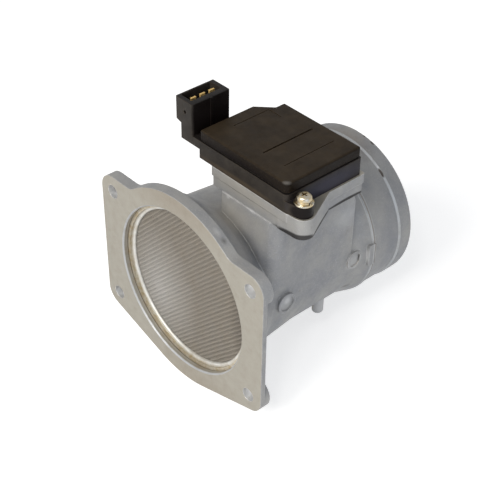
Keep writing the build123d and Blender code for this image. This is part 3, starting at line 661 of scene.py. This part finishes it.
class Finish(Enum):
    """Every finish of the sensor."""

    CAST = CastSkin(
        "cast_alloy",
        (0.25, 0.255, 0.27),
        (0.34, 0.335, 0.325),
        (0.1, 0.085, 0.065),
        marks=(
            # Painted warm light on the neck and the platform's front, painted light and cool shade on the
            # barrel, a brown tint on the spigot's top and painted cool shade on its side.
            Mark(WARM_LIGHT, (14.0, 20.0, 43.0), (24.0, 9.0, 10.0), strength=0.45, softness=0.9),
            Mark(WARM_LIGHT, (20.0, 23.5, 57.0), (36.0, 3.0, 7.0), strength=0.4, softness=0.7),
            Mark(BARE_AND_HIGHLIGHT, (38.8, 70.0, 32.0), (5.0, 13.0, 11.0), strength=0.22, softness=0.95),
            Mark(COOL_SHADE, (39.5, 45.0, 16.0), (6.0, 16.0, 16.0), strength=0.25, softness=0.95),
            Mark(TARNISH, (2.0, 108.0, 42.0), (24.0, 12.0, 9.0), strength=0.4, softness=0.8),
            Mark(COOL_SHADE, (41.5, 105.0, 2.0), (10.0, 10.0, 28.0), strength=0.45, softness=0.9),
            # Painted highlights along the hose step's two edges, with a darker band between them.
            Mark(BARE_AND_HIGHLIGHT, (0.0, 90.9, 0.0), (400.0, 0.4, 400.0), strength=0.55),
            Mark(TARNISH, (0.0, 92.0, 0.0), (400.0, 0.6, 400.0), strength=0.45),
            Mark(BARE_AND_HIGHLIGHT, (0.0, 93.1, 0.0), (400.0, 0.4, 400.0), strength=0.55),
            # Painted shadow under the platform's lower edge: at the near ear, on its slant and along the
            # side.
            Mark(PAINTED_SHADE, (54.0, 26.0, 50.5), (17.0, 6.5, 2.9), strength=0.9, softness=0.25),
            Mark(PAINTED_SHADE, (52.5, 41.0, 50.4), (3.4, 14.0, 1.9), (0.0, 0.0, 27.6), 0.95, 0.25),
            Mark(PAINTED_SHADE, (47.6, 62.0, 50.4), (3.0, 15.0, 1.9), strength=0.95, softness=0.25),
            # Line under the platform's lip, nicks in the spigot's rim and a worn place on the flange.
            Mark(GRIME_AND_SHADE, (22.0, 23.5, 56.0), (27.0, 1.5, 0.28), strength=0.6),
            Mark(GRIME_AND_SHADE, (11.8, 118.6, 40.5), (1.8, 1.6, 1.8), strength=0.9, softness=0.4),
            Mark(GRIME_AND_SHADE, (6.0, 118.7, 41.8), (1.3, 1.3, 1.4), softness=0.4),
            Mark(GRIME_AND_SHADE, (28.6, 3.4, 45.8), (2.2, 1.6, 2.0), strength=0.5, softness=0.9),
            Mark(BARE_AND_HIGHLIGHT, (24.1, 3.2, 48.3), (3.2, 1.8, 2.4), strength=0.35, softness=0.9),
            # Painted highlights on two small bumps of the neck and on the front boss, painted light on the
            # lug, and a painted shadow behind the lug.
            Mark(BARE_AND_HIGHLIGHT, (8.6, 23.4, 49.6), (1.6, 1.5, 1.2), strength=0.5, softness=0.9),
            Mark(BARE_AND_HIGHLIGHT, (24.5, 23.5, 50.4), (3.2, 1.5, 1.1), strength=0.5, softness=0.9),
            Mark(BARE_AND_HIGHLIGHT, (41.0, 32.4, 2.3), (1.5, 2.2, 2.4), strength=0.5),
            Mark(BARE_AND_HIGHLIGHT, (28.0, 66.5, -29.0), (8.0, 6.0, 9.0), strength=0.55, softness=0.35),
            Mark(GRIME_AND_SHADE, (33.7, 81.4, -20.0), (3.0, 4.0, 2.5), strength=0.5, softness=0.9),
            # Painted highlights on the bosses, the barrel and the pad's edges at the hose step, and painted
            # shade below the pad.
            Mark(BARE_AND_HIGHLIGHT, (40.5, 31.5, 2.5), (2.5, 6.0, 6.0), strength=0.3, softness=0.5),
            Mark(BARE_AND_HIGHLIGHT, (39.4, 79.0, 0.2), (2.5, 5.5, 5.5), strength=0.3, softness=0.5),
            Mark(BARE_AND_HIGHLIGHT, (38.8, 76.0, 32.0), (4.0, 11.0, 10.0), strength=0.22, softness=0.9),
            Mark(BARE_AND_HIGHLIGHT, (41.6, 87.6, 1.5), (1.5, 0.6, 5.5), strength=0.75),
            Mark(BARE_AND_HIGHLIGHT, (42.6, 92.4, 0.0), (1.0, 0.5, 6.0), strength=0.6),
            Mark(GRIME_AND_SHADE, (41.5, 90.0, -5.2), (2.0, 3.2, 0.6), strength=0.7),
        ),
    )
    # The inner wall: the same alloy in a lighter tone, as painted light where the duct's inside lies in
    # shade.
    CAST_INSIDE_LIT = CastSkin(
        "cast_alloy_inside_lit", (0.42, 0.385, 0.33), (0.5, 0.47, 0.41), (0.2, 0.16, 0.11), nook_grime_and_shade=0.3
    )
    FLANGE_FACE = MachinedSkin(
        "milled_flange_face",
        (0.335, 0.314, 0.27),
        (0.26, 0.23, 0.185),
        marks=(
            Mark(TARNISH, (0.0, 0.0, 52.0), (60.0, 3.0, 16.0), strength=0.38, softness=0.95),
            Mark(TARNISH, (14.0, 0.0, -50.0), (50.0, 3.0, 18.0), strength=0.3, softness=0.95),
        ),
    )
    TURNED = MachinedSkin(
        "turned_alloy",
        (0.4, 0.385, 0.35),
        (0.3, 0.225, 0.13),
        roughness=0.4,
        pitch=1.1,
        depth=0.05,
        stained=0.7,
        lined=0.8,
    )
    DRILLED = MachinedSkin(
        "drilled_alloy",
        (0.75, 0.75, 0.75),
        (0.5, 0.43, 0.3),
        metallic=0.85,
        roughness=0.35,
        pitch=0.5,
        depth=0.02,
        stained=0.4,
    )
    # Lighter alloy on the bead's ramp, the ridge at the hose step and the bore's chamfer: rubbed metal,
    # partly as a painted highlight.
    RUBBED_AND_HIGHLIT = MachinedSkin(
        "rubbed_and_highlit_alloy",
        (0.42, 0.43, 0.44),
        (0.3, 0.295, 0.28),
        metallic=0.25,
        roughness=0.4,
        pitch=0.5,
        depth=0.01,
        stained=0.8,
        # Dark slot in the bead's ramp.
        marks=(Mark(GRIME_AND_SHADE, (25.8, 110.4, 33.0), (1.0, 1.0, 3.2), (0.0, 128.4, 0.0), 0.95, 0.4),),
    )
    BASE = MouldedSkin(
        "moulded_black",
        (0.007, 0.006, 0.0065),
        (0.05, 0.042, 0.034),
        dust_and_light_share=0.8,
        gloss=0.12,
        # Dust laid on the sides that face the key and fill lamps: also painted light on the lit sides.
        dust_and_light_facing=(0.7, -1.0, 0.3),
        marks=(
            # Dust along the front's foot, painted shade near the ear and on the plug's side by the cover,
            # painted cool light on the +X side.
            Mark(DUST_AND_HIGHLIGHT, (14.0, 23.6, 62.3), (34.0, 2.0, 1.8), strength=0.35),
            Mark(PAINTED_SHADE, (53.5, 27.0, 64.0), (7.0, 6.0, 4.5), strength=0.9, softness=0.3),
            Mark(PAINTED_SHADE, (-16.6, 36.0, 80.0), (1.5, 16.0, 22.0), strength=0.9, softness=0.3),
            Mark(COOL_SIDE_LIGHT, (46.5, 50.0, 65.0), (3.0, 30.0, 6.0), strength=0.6, softness=0.7),
        ),
    )
    COVER = MouldedSkin(
        "moulded_brown_black",
        (0.008, 0.005, 0.003),
        (0.044, 0.031, 0.018),
        dust_and_light_share=0.75,
        gloss=0.09,
        marks=(
            # Painted shade on the front side, and a painted highlight on the near corner.
            Mark(PAINTED_SHADE, (12.0, 23.8, 71.0), (36.0, 1.6, 3.6), strength=0.85),
            Mark(BARE_AND_HIGHLIGHT, (44.7, 25.2, 76.0), (3.2, 1.5, 1.3), (0.0, 0.0, 40.0), 0.14, 0.95),
        ),
    )
    ZINC = PlatedSkin("zinc_plating", (0.44, 0.42, 0.37), (0.52, 0.4, 0.2))
    TERMINAL = PlatedSkin(
        "terminal_plating", (0.72, 0.5, 0.19), (0.58, 0.37, 0.12), metallic=0.4, roughness=0.35
    )
    RING = PlatedSkin(
        "pressed_ring", (0.64, 0.635, 0.61), (0.5, 0.47, 0.41), metallic=0.5, roughness=0.42, patch=6.0
    )
    SPRING = PlatedSkin("sprung_wire", (0.52, 0.48, 0.4), (0.4, 0.32, 0.2), metallic=0.5, roughness=0.4)
    WIRE = PlatedSkin(
        "drawn_wire",
        (0.262, 0.238, 0.206),
        (0.26, 0.232, 0.195),
        metallic=0.2,
        roughness=0.55,
        patch=9.0,
        marks=(
            # Painted light on the mesh's lower left and painted shade on its right.
            Mark(BARE_AND_HIGHLIGHT, (-23.0, 6.2, -15.0), (30.0, 8.0, 40.0), strength=0.45, softness=0.95),
            Mark(GRIME_AND_SHADE, (44.0, 6.2, 10.0), (15.0, 8.0, 42.0), strength=0.55, softness=0.9),
        ),
    )
    RUBBER = MouldedSkin("seal_rubber", (0.012, 0.012, 0.012), (0.03, 0.03, 0.03), roughness=0.75, grain=0.5)
    PROBE = MouldedSkin("channel_moulding", (0.02, 0.02, 0.021), (0.05, 0.048, 0.045), roughness=0.42)
    PLATE = PlatedSkin(
        "carrier_alloy", (0.62, 0.63, 0.64), (0.52, 0.53, 0.54), metallic=0.9, roughness=0.36, patch=5.0
    )
    CERAMIC = MouldedSkin(
        "board_ceramic", (0.72, 0.71, 0.66), (0.6, 0.58, 0.5), roughness=0.5, grain=0.3, grain_depth=0.01
    )
    CHIP = MouldedSkin(
        "chip_case", (0.02, 0.02, 0.022), (0.04, 0.04, 0.042), roughness=0.5, grain=0.2, grain_depth=0.01
    )
    CAPACITOR = MouldedSkin(
        "capacitor_case", (0.36, 0.24, 0.12), (0.26, 0.17, 0.08), roughness=0.4, grain=0.3, grain_depth=0.01
    )
    ELEMENT = PlatedSkin(
        "element_glaze", (0.5, 0.52, 0.55), (0.4, 0.41, 0.44), metallic=0.3, roughness=0.25
    )

    def made(self) -> bpy.types.Material:
        """The finish's material, built once."""
        return bpy.data.materials.get(self.value.name) or self.value.material()


def dress(node: str, finish: Finish) -> None:
    """Give a CAD node a finish in every material slot.

    Args:
        node: Name of the node.
        finish: Its finish.
    """
    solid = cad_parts[node]
    if not solid.material_slots:
        solid.data.materials.append(None)
    for slot in solid.material_slots:
        slot.material = finish.made()
    LOG.info("%s: %s", node, finish.value.name)


def refined(
    node: str,
    name: str,
    finishes: Sequence[Finish],
    zone: Optional[Callable[[bmesh.types.BMFace], int]] = None,
) -> bpy.types.Object:
    """Replace a CAD node by a welded copy of its mesh with smooth rounds and clean flats.

    Args:
        node: Name of the node.
        name: Name of the new piece.
        finishes: Finishes of the piece, in the order of its slots.
        zone: Function of a face that gives the index of its finish, or None for the first.

    Returns:
        The new piece.
    """
    mesh = bpy.data.meshes.new(name)
    work = bmesh.new()
    work.from_mesh(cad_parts[node].data)
    bmesh.ops.remove_doubles(work, verts=work.verts, dist=WELD)
    work.normal_update()
    for face in work.faces:
        face.smooth = True
        face.material_index = zone(face) if zone else 0
    for edge in work.edges:
        edge.smooth = edge.is_manifold and edge.calc_face_angle(0.0) < math.radians(CRISP_ANGLE)
    work.to_mesh(mesh)
    work.free()
    for finish in finishes:
        mesh.materials.append(finish.made())
    piece = bpy.data.objects.new(name, mesh)
    bpy.context.scene.collection.objects.link(piece)
    weighted = piece.modifiers.new("clean_flats", "WEIGHTED_NORMAL")
    weighted.keep_sharp = True
    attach(piece, "root")
    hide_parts(node)
    LOG.info("%s stands for %s: %d faces", name, node, len(mesh.polygons))
    return piece


class Zone(IntEnum):
    """Kinds of surface on the housing, in the order of its material slots."""

    CAST = 0
    INSIDE = 1
    MILLED = 2
    TURNED = 3
    DRILLED = 4
    RUBBED_AND_HIGHLIT = 5


@dataclass
class Housing:
    """The cast duct with its machined places.

    Attributes:
        bolt: Place of a bolt hole across and up from the axis.
        bolt_hole_r: Radius of a bolt hole.
        flange_thickness: Thickness of the flange.
        bore_r: Radius of the screen's bore.
        bore_depth: Depth of the screen's bore.
        groove_reach: Reach outside that bore within which the snap ring's groove lies.
        mouth_chamfer: Chamfer at the bore's mouth.
        throat_r: Radius within which the duct's inner wall lies, behind the bore.
        throat_top: Height up to which that wall reaches.
        platform_top: Height of the platform's milled top.
        ridge: Start and end of the ridge at the hose step.
        bead_ramp: Start and end of the bead's ramp.
        end_y: Place of the spigot's turned end.
        front_turn: Least -Y part of a normal on the flange's front.
        ramp_turn: Least Y part of a normal on a rubbed slope with a painted highlight.
        slack: Allowance on each of these places.
    """

    bolt: tuple[float, float] = (50.0 * MM, 32.0 * MM)
    bolt_hole_r: float = 3.6 * MM
    flange_thickness: float = 6.0 * MM
    bore_r: float = 44.3 * MM
    bore_depth: float = 8.4 * MM
    groove_reach: float = 1.5 * MM
    mouth_chamfer: float = 0.7 * MM
    throat_r: float = 40.5 * MM
    throat_top: float = 40.0 * MM
    platform_top: float = 61.0 * MM
    ridge: tuple[float, float] = (91.3 * MM, 93.5 * MM)
    bead_ramp: tuple[float, float] = (109.9 * MM, 111.1 * MM)
    end_y: float = 119.2 * MM
    front_turn: float = 0.9
    ramp_turn: float = 0.2
    slack: float = 0.1 * MM

    def zone(self, face: bmesh.types.BMFace) -> Zone:
        """Which kind of surface a face is on.

        Args:
            face: A face of the housing's mesh.

        Returns:
            Its zone.
        """
        centre = face.calc_center_median()
        radius = math.hypot(centre.x, centre.z)
        outward = face.normal.x * centre.x + face.normal.z * centre.z
        to_bolt = math.hypot(abs(centre.x) - self.bolt[0], abs(centre.z) - self.bolt[1])
        if centre.y < self.slack and face.normal.y < -self.front_turn:
            return Zone.MILLED
        if centre.y < self.flange_thickness and to_bolt < self.bolt_hole_r + self.slack:
            return Zone.DRILLED
        if centre.z > self.platform_top - self.slack:
            return Zone.MILLED
        if centre.y < self.mouth_chamfer and self.bore_r < radius < self.bore_r + self.mouth_chamfer:
            return Zone.RUBBED_AND_HIGHLIT
        if centre.y < self.bore_depth + self.slack and radius < self.bore_r + self.groove_reach:
            return Zone.TURNED
        if centre.y > self.end_y - self.slack:
            return Zone.TURNED
        if outward > 0 and any(low < centre.y < high for low, high in (self.ridge, self.bead_ramp)):
            return Zone.RUBBED_AND_HIGHLIT if abs(face.normal.y) > self.ramp_turn else Zone.CAST
        if radius < self.throat_r and outward < 0 and centre.z < self.throat_top:
            return Zone.INSIDE
        return Zone.CAST

    def build(self) -> None:
        """Make the housing's piece."""
        finishes = {
            Zone.CAST: Finish.CAST,
            Zone.INSIDE: Finish.CAST_INSIDE_LIT,
            Zone.MILLED: Finish.FLANGE_FACE,
            Zone.TURNED: Finish.TURNED,
            Zone.DRILLED: Finish.DRILLED,
            Zone.RUBBED_AND_HIGHLIT: Finish.RUBBED_AND_HIGHLIT,
        }
        refined("duct_housing", "cast_housing", [finishes[zone] for zone in Zone], self.zone)


class TreeBoard(Board):
    """Lays out one Geometry Nodes tree with named sizes and a finish."""

    def __init__(self, name: str, sizes: dict[str, float]) -> None:
        """Start a tree.

        Args:
            name: Name of the tree.
            sizes: Name and usual value of each size.
        """
        self.tree = bpy.data.node_groups.new(name, "GeometryNodeTree")
        super().__init__(self.tree)
        face = self.tree.interface
        face.new_socket("Geometry", in_out="INPUT", socket_type="NodeSocketGeometry")
        for size, value in sizes.items():
            face.new_socket(size, in_out="INPUT", socket_type="NodeSocketFloat").default_value = value
        face.new_socket("Finish", in_out="INPUT", socket_type="NodeSocketMaterial")
        face.new_socket("Geometry", in_out="OUTPUT", socket_type="NodeSocketGeometry")
        self.given = self.add("NodeGroupInput").outputs

    def joined(self, **parts: Socket) -> Socket:
        """A vector from its named parts."""
        return self.add("ShaderNodeCombineXYZ", **parts).outputs[0]

    def step(self, kind: str, settings: Optional[dict[str, object]] = None, **inputs: object) -> Socket:
        """Add a node as add does, and give its first output."""
        return self.add(kind, settings, **inputs).outputs[0]

    def end(self, geometry: Socket) -> bpy.types.GeometryNodeTree:
        """Close the tree with real geometry in its finish.

        Args:
            geometry: What the tree has made.

        Returns:
            The tree.
        """
        solid = self.step("GeometryNodeRealizeInstances", Geometry=geometry)
        dressed = self.step("GeometryNodeSetMaterial", Geometry=solid, Material=self.given["Finish"])
        self.add("NodeGroupOutput", Geometry=dressed)
        return self.tree


@dataclass
class InletScreen:
    """Fine woven wire mesh across the inlet, in its bright frame.

    Attributes:
        radius: Radius that the wires fill, under the frame's rim.
        level: Place of the mesh along the duct.
        pitch: Distance between two wires.
        wire: Thickness of a wire.
        turn: Turn of the first layer's wires in degrees.
        crossing: Further turn of the second layer's wires in degrees.
        wires_per_wave: Number of crossing wires after which the weave repeats.
        sides: Number of sides of a wire's section.
    """

    radius: float = 42.3 * MM
    level: float = 6.2 * MM
    pitch: float = 0.718 * MM
    wire: float = 0.4 * MM
    turn: float = 0.5
    crossing: float = 90.0
    wires_per_wave: int = 4
    sides: int = 6

    def weave_tree(self) -> bpy.types.GeometryNodeTree:
        """Node tree that lays the parallel waved wires of a twill inside a circle.

        Each wire passes over two wires and under two, one step later than its neighbour, so that
        the crowns make slanting ribs. Side is 1 for one layer and -1 for the layer that crosses it.

        Returns:
            The tree, whose wires run along Y, spaced along X, and wave along Z.
        """
        sizes = {"Radius": self.radius, "Pitch": self.pitch, "Wire": self.wire, "Side": 1.0}
        board = TreeBoard("woven_wires", sizes)
        maths, joined, step, given = board.maths, board.joined, board.step, board.given
        stride = 2.0 * math.pi / self.wires_per_wave

        half = maths("FLOOR", maths("DIVIDE", given["Radius"], given["Pitch"]))
        reach = maths("MULTIPLY", half, given["Pitch"])
        start = maths("MULTIPLY", reach, -1.0)
        count = maths("ADD", maths("MULTIPLY", half, 2.0), 1.0)
        rows = step(
            "GeometryNodeMeshLine",
            {"mode": "OFFSET"},
            Count=count,
            Start_Location=joined(X=start),
            Offset=joined(X=given["Pitch"]),
        )
        strand = step("GeometryNodeCurvePrimitiveLine", Start=joined(Y=start), End=joined(Y=reach))
        cut = step("GeometryNodeResampleCurve", {"mode": "COUNT"}, Curve=strand, Count=count)
        laid = step("GeometryNodeInstanceOnPoints", Points=rows, Instance=cut)
        real = step("GeometryNodeRealizeInstances", Geometry=laid)

        parts = board.add("ShaderNodeSeparateXYZ", Vector=step("GeometryNodeInputPosition")).outputs
        across, along = parts["X"], parts["Y"]
        shift = maths("SUBTRACT", across, maths("MULTIPLY", along, given["Side"]))
        phase = maths("MULTIPLY", maths("DIVIDE", shift, given["Pitch"]), stride)
        crown = maths("COSINE", maths("SUBTRACT", phase, 0.5 * stride))
        # So a wire stands half its thickness over or under each wire that it crosses.
        swing = maths("MULTIPLY", maths("MULTIPLY", given["Wire"], math.sqrt(0.5)), given["Side"])
        rise = joined(Z=maths("MULTIPLY", crown, swing))
        waved = step("GeometryNodeSetPosition", Geometry=real, Offset=rise)

        squares = maths("ADD", maths("POWER", across, 2.0), maths("POWER", along, 2.0))
        beyond = maths("GREATER_THAN", maths("SQRT", squares), given["Radius"])
        kept = step("GeometryNodeDeleteGeometry", {"domain": "POINT"}, Geometry=waved, Selection=beyond)
        thin = maths("MULTIPLY", given["Wire"], 0.5)
        section = step("GeometryNodeCurvePrimitiveCircle", Resolution=self.sides, Radius=thin)
        return board.end(step("GeometryNodeCurveToMesh", Curve=kept, Profile_Curve=section, Fill_Caps=True))

    def wires(
        self, tree: bpy.types.GeometryNodeTree, name: str, turn: float, side: float
    ) -> bpy.types.Object:
        """Lay one layer of wires and stand it in its place across the duct.

        Args:
            tree: The wires' node tree.
            name: Name of the piece.
            turn: Angle of the wires in the flange's plane, in degrees.
            side: 1 or -1, so that the two layers cross over and under.

        Returns:
            The new piece.
        """
        carrier = bpy.data.objects.new(name + "_lay", bpy.data.meshes.new(name + "_lay"))
        bpy.context.scene.collection.objects.link(carrier)
        modifier = carrier.modifiers.new("weave", "NODES")
        modifier.node_group = tree
        sockets = {item.name: item.identifier for item in tree.interface.items_tree if item.in_out == "INPUT"}
        modifier[sockets["Side"]] = side
        modifier[sockets["Finish"]] = Finish.WIRE.made()
        bpy.context.view_layer.update()
        ready = carrier.evaluated_get(bpy.context.evaluated_depsgraph_get())
        mesh = bpy.data.meshes.new_from_object(ready)
        bpy.data.objects.remove(carrier)
        mesh.name = name
        upright = Matrix.Rotation(math.radians(90), 4, "X")
        spin = Matrix.Rotation(math.radians(turn), 4, "Y")
        mesh.transform(Matrix.Translation((0, self.level, 0)) @ spin @ upright)
        for polygon in mesh.polygons:
            polygon.use_smooth = True
        piece = bpy.data.objects.new(name, mesh)
        bpy.context.scene.collection.objects.link(piece)
        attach(piece, "root")
        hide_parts("inlet_screen")
        LOG.info("%s: %d faces", name, len(mesh.polygons))
        return piece

    def build(self) -> None:
        """Weave both layers and refine the rings that hold them."""
        tree = self.weave_tree()
        self.wires(tree, "screen_warp", self.turn, 1.0)
        self.wires(tree, "screen_weft", self.turn + self.crossing, -1.0)
        refined("screen_frame", "screen_frame_ring", (Finish.RING,))
        refined("screen_snap_ring", "snap_ring", (Finish.SPRING,))


@dataclass
class SensorModule:
    """The black module with its connector, terminals and fixings.

    Attributes:
        pins: Number of terminals in the connector.
    """

    pins: int = 3

    def build(self) -> None:
        """Dress the mouldings, the terminals, the screws and what is sealed inside."""
        refined("module_base", "moulded_base", (Finish.BASE,))
        refined("module_cover", "moulded_cover", (Finish.COVER,))
        for number in range(1, self.pins + 1):
            dress(f"terminal_pin_{number}", Finish.TERMINAL)
        for node, finish in (
            ("lead_strips", Finish.TERMINAL),
            ("cover_seal", Finish.RUBBER),
            ("module_gasket", Finish.RUBBER),
            ("ear_bushes", Finish.ZINC),
            ("carrier_plate", Finish.PLATE),
            ("circuit_substrate", Finish.CERAMIC),
            ("control_chip", Finish.CHIP),
            ("power_transistor", Finish.CHIP),
            ("chip_resistors", Finish.CHIP),
            ("chip_capacitors", Finish.CAPACITOR),
            ("wire_posts", Finish.SPRING),
            ("hot_wire_element", Finish.ELEMENT),
            ("cold_wire_element", Finish.ELEMENT),
        ):
            dress(node, finish)
        refined("probe_body", "measuring_channel", (Finish.PROBE,))
        for node, name in (
            ("module_screws", "pan_head_screws"),
            ("spring_washers", "split_washers"),
            ("flat_washers", "plain_washers"),
        ):
            refined(node, name, (Finish.ZINC,))


@dataclass(frozen=True)
class Lamp:
    """One soft square lamp.

    Attributes:
        name: Its name.
        place: Its place in metres.
        size: Its width in metres.
        power: Its power in watts.
        colour: Its colour.
    """

    name: str
    place: Triple
    size: float
    power: float
    colour: Colour


@dataclass
class Studio:
    """Camera, pale floor and soft light.

    Attributes:
        camera_place: Place of the camera in metres.
        camera_turn: Turn of the camera about X, Y and Z in degrees.
        lens: Focal length in millimetres.
        sensor: Width of the camera's sensor in millimetres.
        shift: Shift of the picture as a share of its width.
        near: Distance in metres at which the camera starts to see.
        floor_level: Height of the floor, at the part's lowest point.
        floor_half: Half the floor's width in metres.
        paper: Colour of the floor.
        glow: Light that the floor adds where the camera, gloss or glass looks.
        lamps: The lamps.
        aim: Point that the lamps face.
        sky: Colour of the light all round.
        sky_level: Strength of the light all round.
    """

    camera_place: Triple = (0.338296, -0.267731, 0.364451)
    camera_turn: Triple = (51.7788, -0.9172, 47.8291)
    lens: float = 84.289
    sensor: float = 36.0
    shift: tuple[float, float] = (-0.0022, 0.0018)
    near: float = 0.01
    floor_level: float = -54.0 * MM
    floor_half: float = 3.0
    paper: Colour = (0.8, 0.8, 0.8)
    glow: float = 0.6
    lamps: tuple[Lamp, ...] = (
        Lamp("key", (0.1, -0.76, 0.62), 0.5, 7.8, (1.0, 0.97, 0.91)),
        Lamp("fill", (0.9, -0.15, 0.25), 0.6, 1.4, (0.7, 0.82, 1.0)),
        Lamp("glint", (0.38, -0.5, 0.75), 0.12, 1.2, (1.0, 0.98, 0.95)),
    )
    aim: Triple = (0.0, 0.05, 0.01)
    sky: Colour = (0.95, 0.97, 1.0)
    sky_level: float = 0.33

    def camera(self) -> None:
        """Place the camera where the photograph was taken from."""
        data = bpy.data.cameras.new("view")
        data.sensor_fit = "HORIZONTAL"
        data.sensor_width = self.sensor
        data.lens = self.lens
        data.shift_x, data.shift_y = self.shift
        data.clip_start = self.near
        camera = bpy.data.objects.new("view", data)
        camera.location = self.camera_place
        camera.rotation_euler = Euler([math.radians(angle) for angle in self.camera_turn], "XYZ")
        bpy.context.scene.collection.objects.link(camera)
        bpy.context.scene.camera = camera

    def floor(self) -> None:
        """Lay a pale floor that shows white to the camera and keeps the soft shadow."""
        mesh = bpy.data.meshes.new("floor")
        work = bmesh.new()
        bmesh.ops.create_grid(work, x_segments=1, y_segments=1, size=self.floor_half)
        work.to_mesh(mesh)
        work.free()
        mesh.transform(Matrix.Translation((0, 0, self.floor_level)))
        material = bpy.data.materials.new("floor_paper")
        material.use_nodes = True
        board = Board(material.node_tree)
        matt = board.add("ShaderNodeBsdfDiffuse", Color=self.paper)
        glow = board.add("ShaderNodeEmission", Strength=board.maths("MULTIPLY", board.seen(), self.glow))
        both = board.add("ShaderNodeAddShader")
        board.feed(both.inputs[0], matt.outputs[0])
        board.feed(both.inputs[1], glow.outputs[0])
        board.add("ShaderNodeOutputMaterial", Surface=both.outputs[0])
        mesh.materials.append(material)
        floor = bpy.data.objects.new("floor", mesh)
        bpy.context.scene.collection.objects.link(floor)
        floor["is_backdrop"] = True

    def hang(self, lamp: Lamp) -> None:
        """Hang one lamp that faces the part.

        Args:
            lamp: The lamp.
        """
        data = bpy.data.lights.new(lamp.name, "AREA")
        data.shape = "SQUARE"
        data.size = lamp.size
        data.energy = lamp.power
        data.color = lamp.colour
        hung = bpy.data.objects.new(lamp.name, data)
        hung.location = lamp.place
        sight = Vector(self.aim) - Vector(lamp.place)
        hung.rotation_euler = sight.to_track_quat("-Z", "Y").to_euler()
        bpy.context.scene.collection.objects.link(hung)

    def surroundings(self) -> None:
        """Give the world a plain level, and pale light for the camera, gloss and glass."""
        world = bpy.data.worlds.new("studio")
        bpy.context.scene.world = world
        world.use_nodes = True
        board = Board(world.node_tree)
        lit = board.add("ShaderNodeBackground", Color=self.sky, Strength=self.sky_level)
        pale = board.add("ShaderNodeBackground", Strength=1.0)
        mix = board.add("ShaderNodeMixShader", Fac=board.seen())
        board.feed(mix.inputs[1], lit.outputs[0])
        board.feed(mix.inputs[2], pale.outputs[0])
        board.add("ShaderNodeOutputWorld", Surface=mix.outputs[0])

    def build(self) -> None:
        """Set up the whole studio."""
        self.camera()
        self.floor()
        for lamp in self.lamps:
            self.hang(lamp)
        self.surroundings()
        bpy.context.scene.view_settings.view_transform = "Standard"


def main() -> None:
    """Build every sub-assembly in order."""
    logging.basicConfig(level=logging.INFO, format="%(name)s: %(message)s")
    for part in (Studio(), Housing(), InletScreen(), SensorModule()):
        part.build()
        LOG.info("built %s", type(part).__name__)
    boxes = [[[float(c) for c in corner] for corner in box] for box in (CAD_BOX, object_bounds())]


if __name__ == "__main__":
    main()
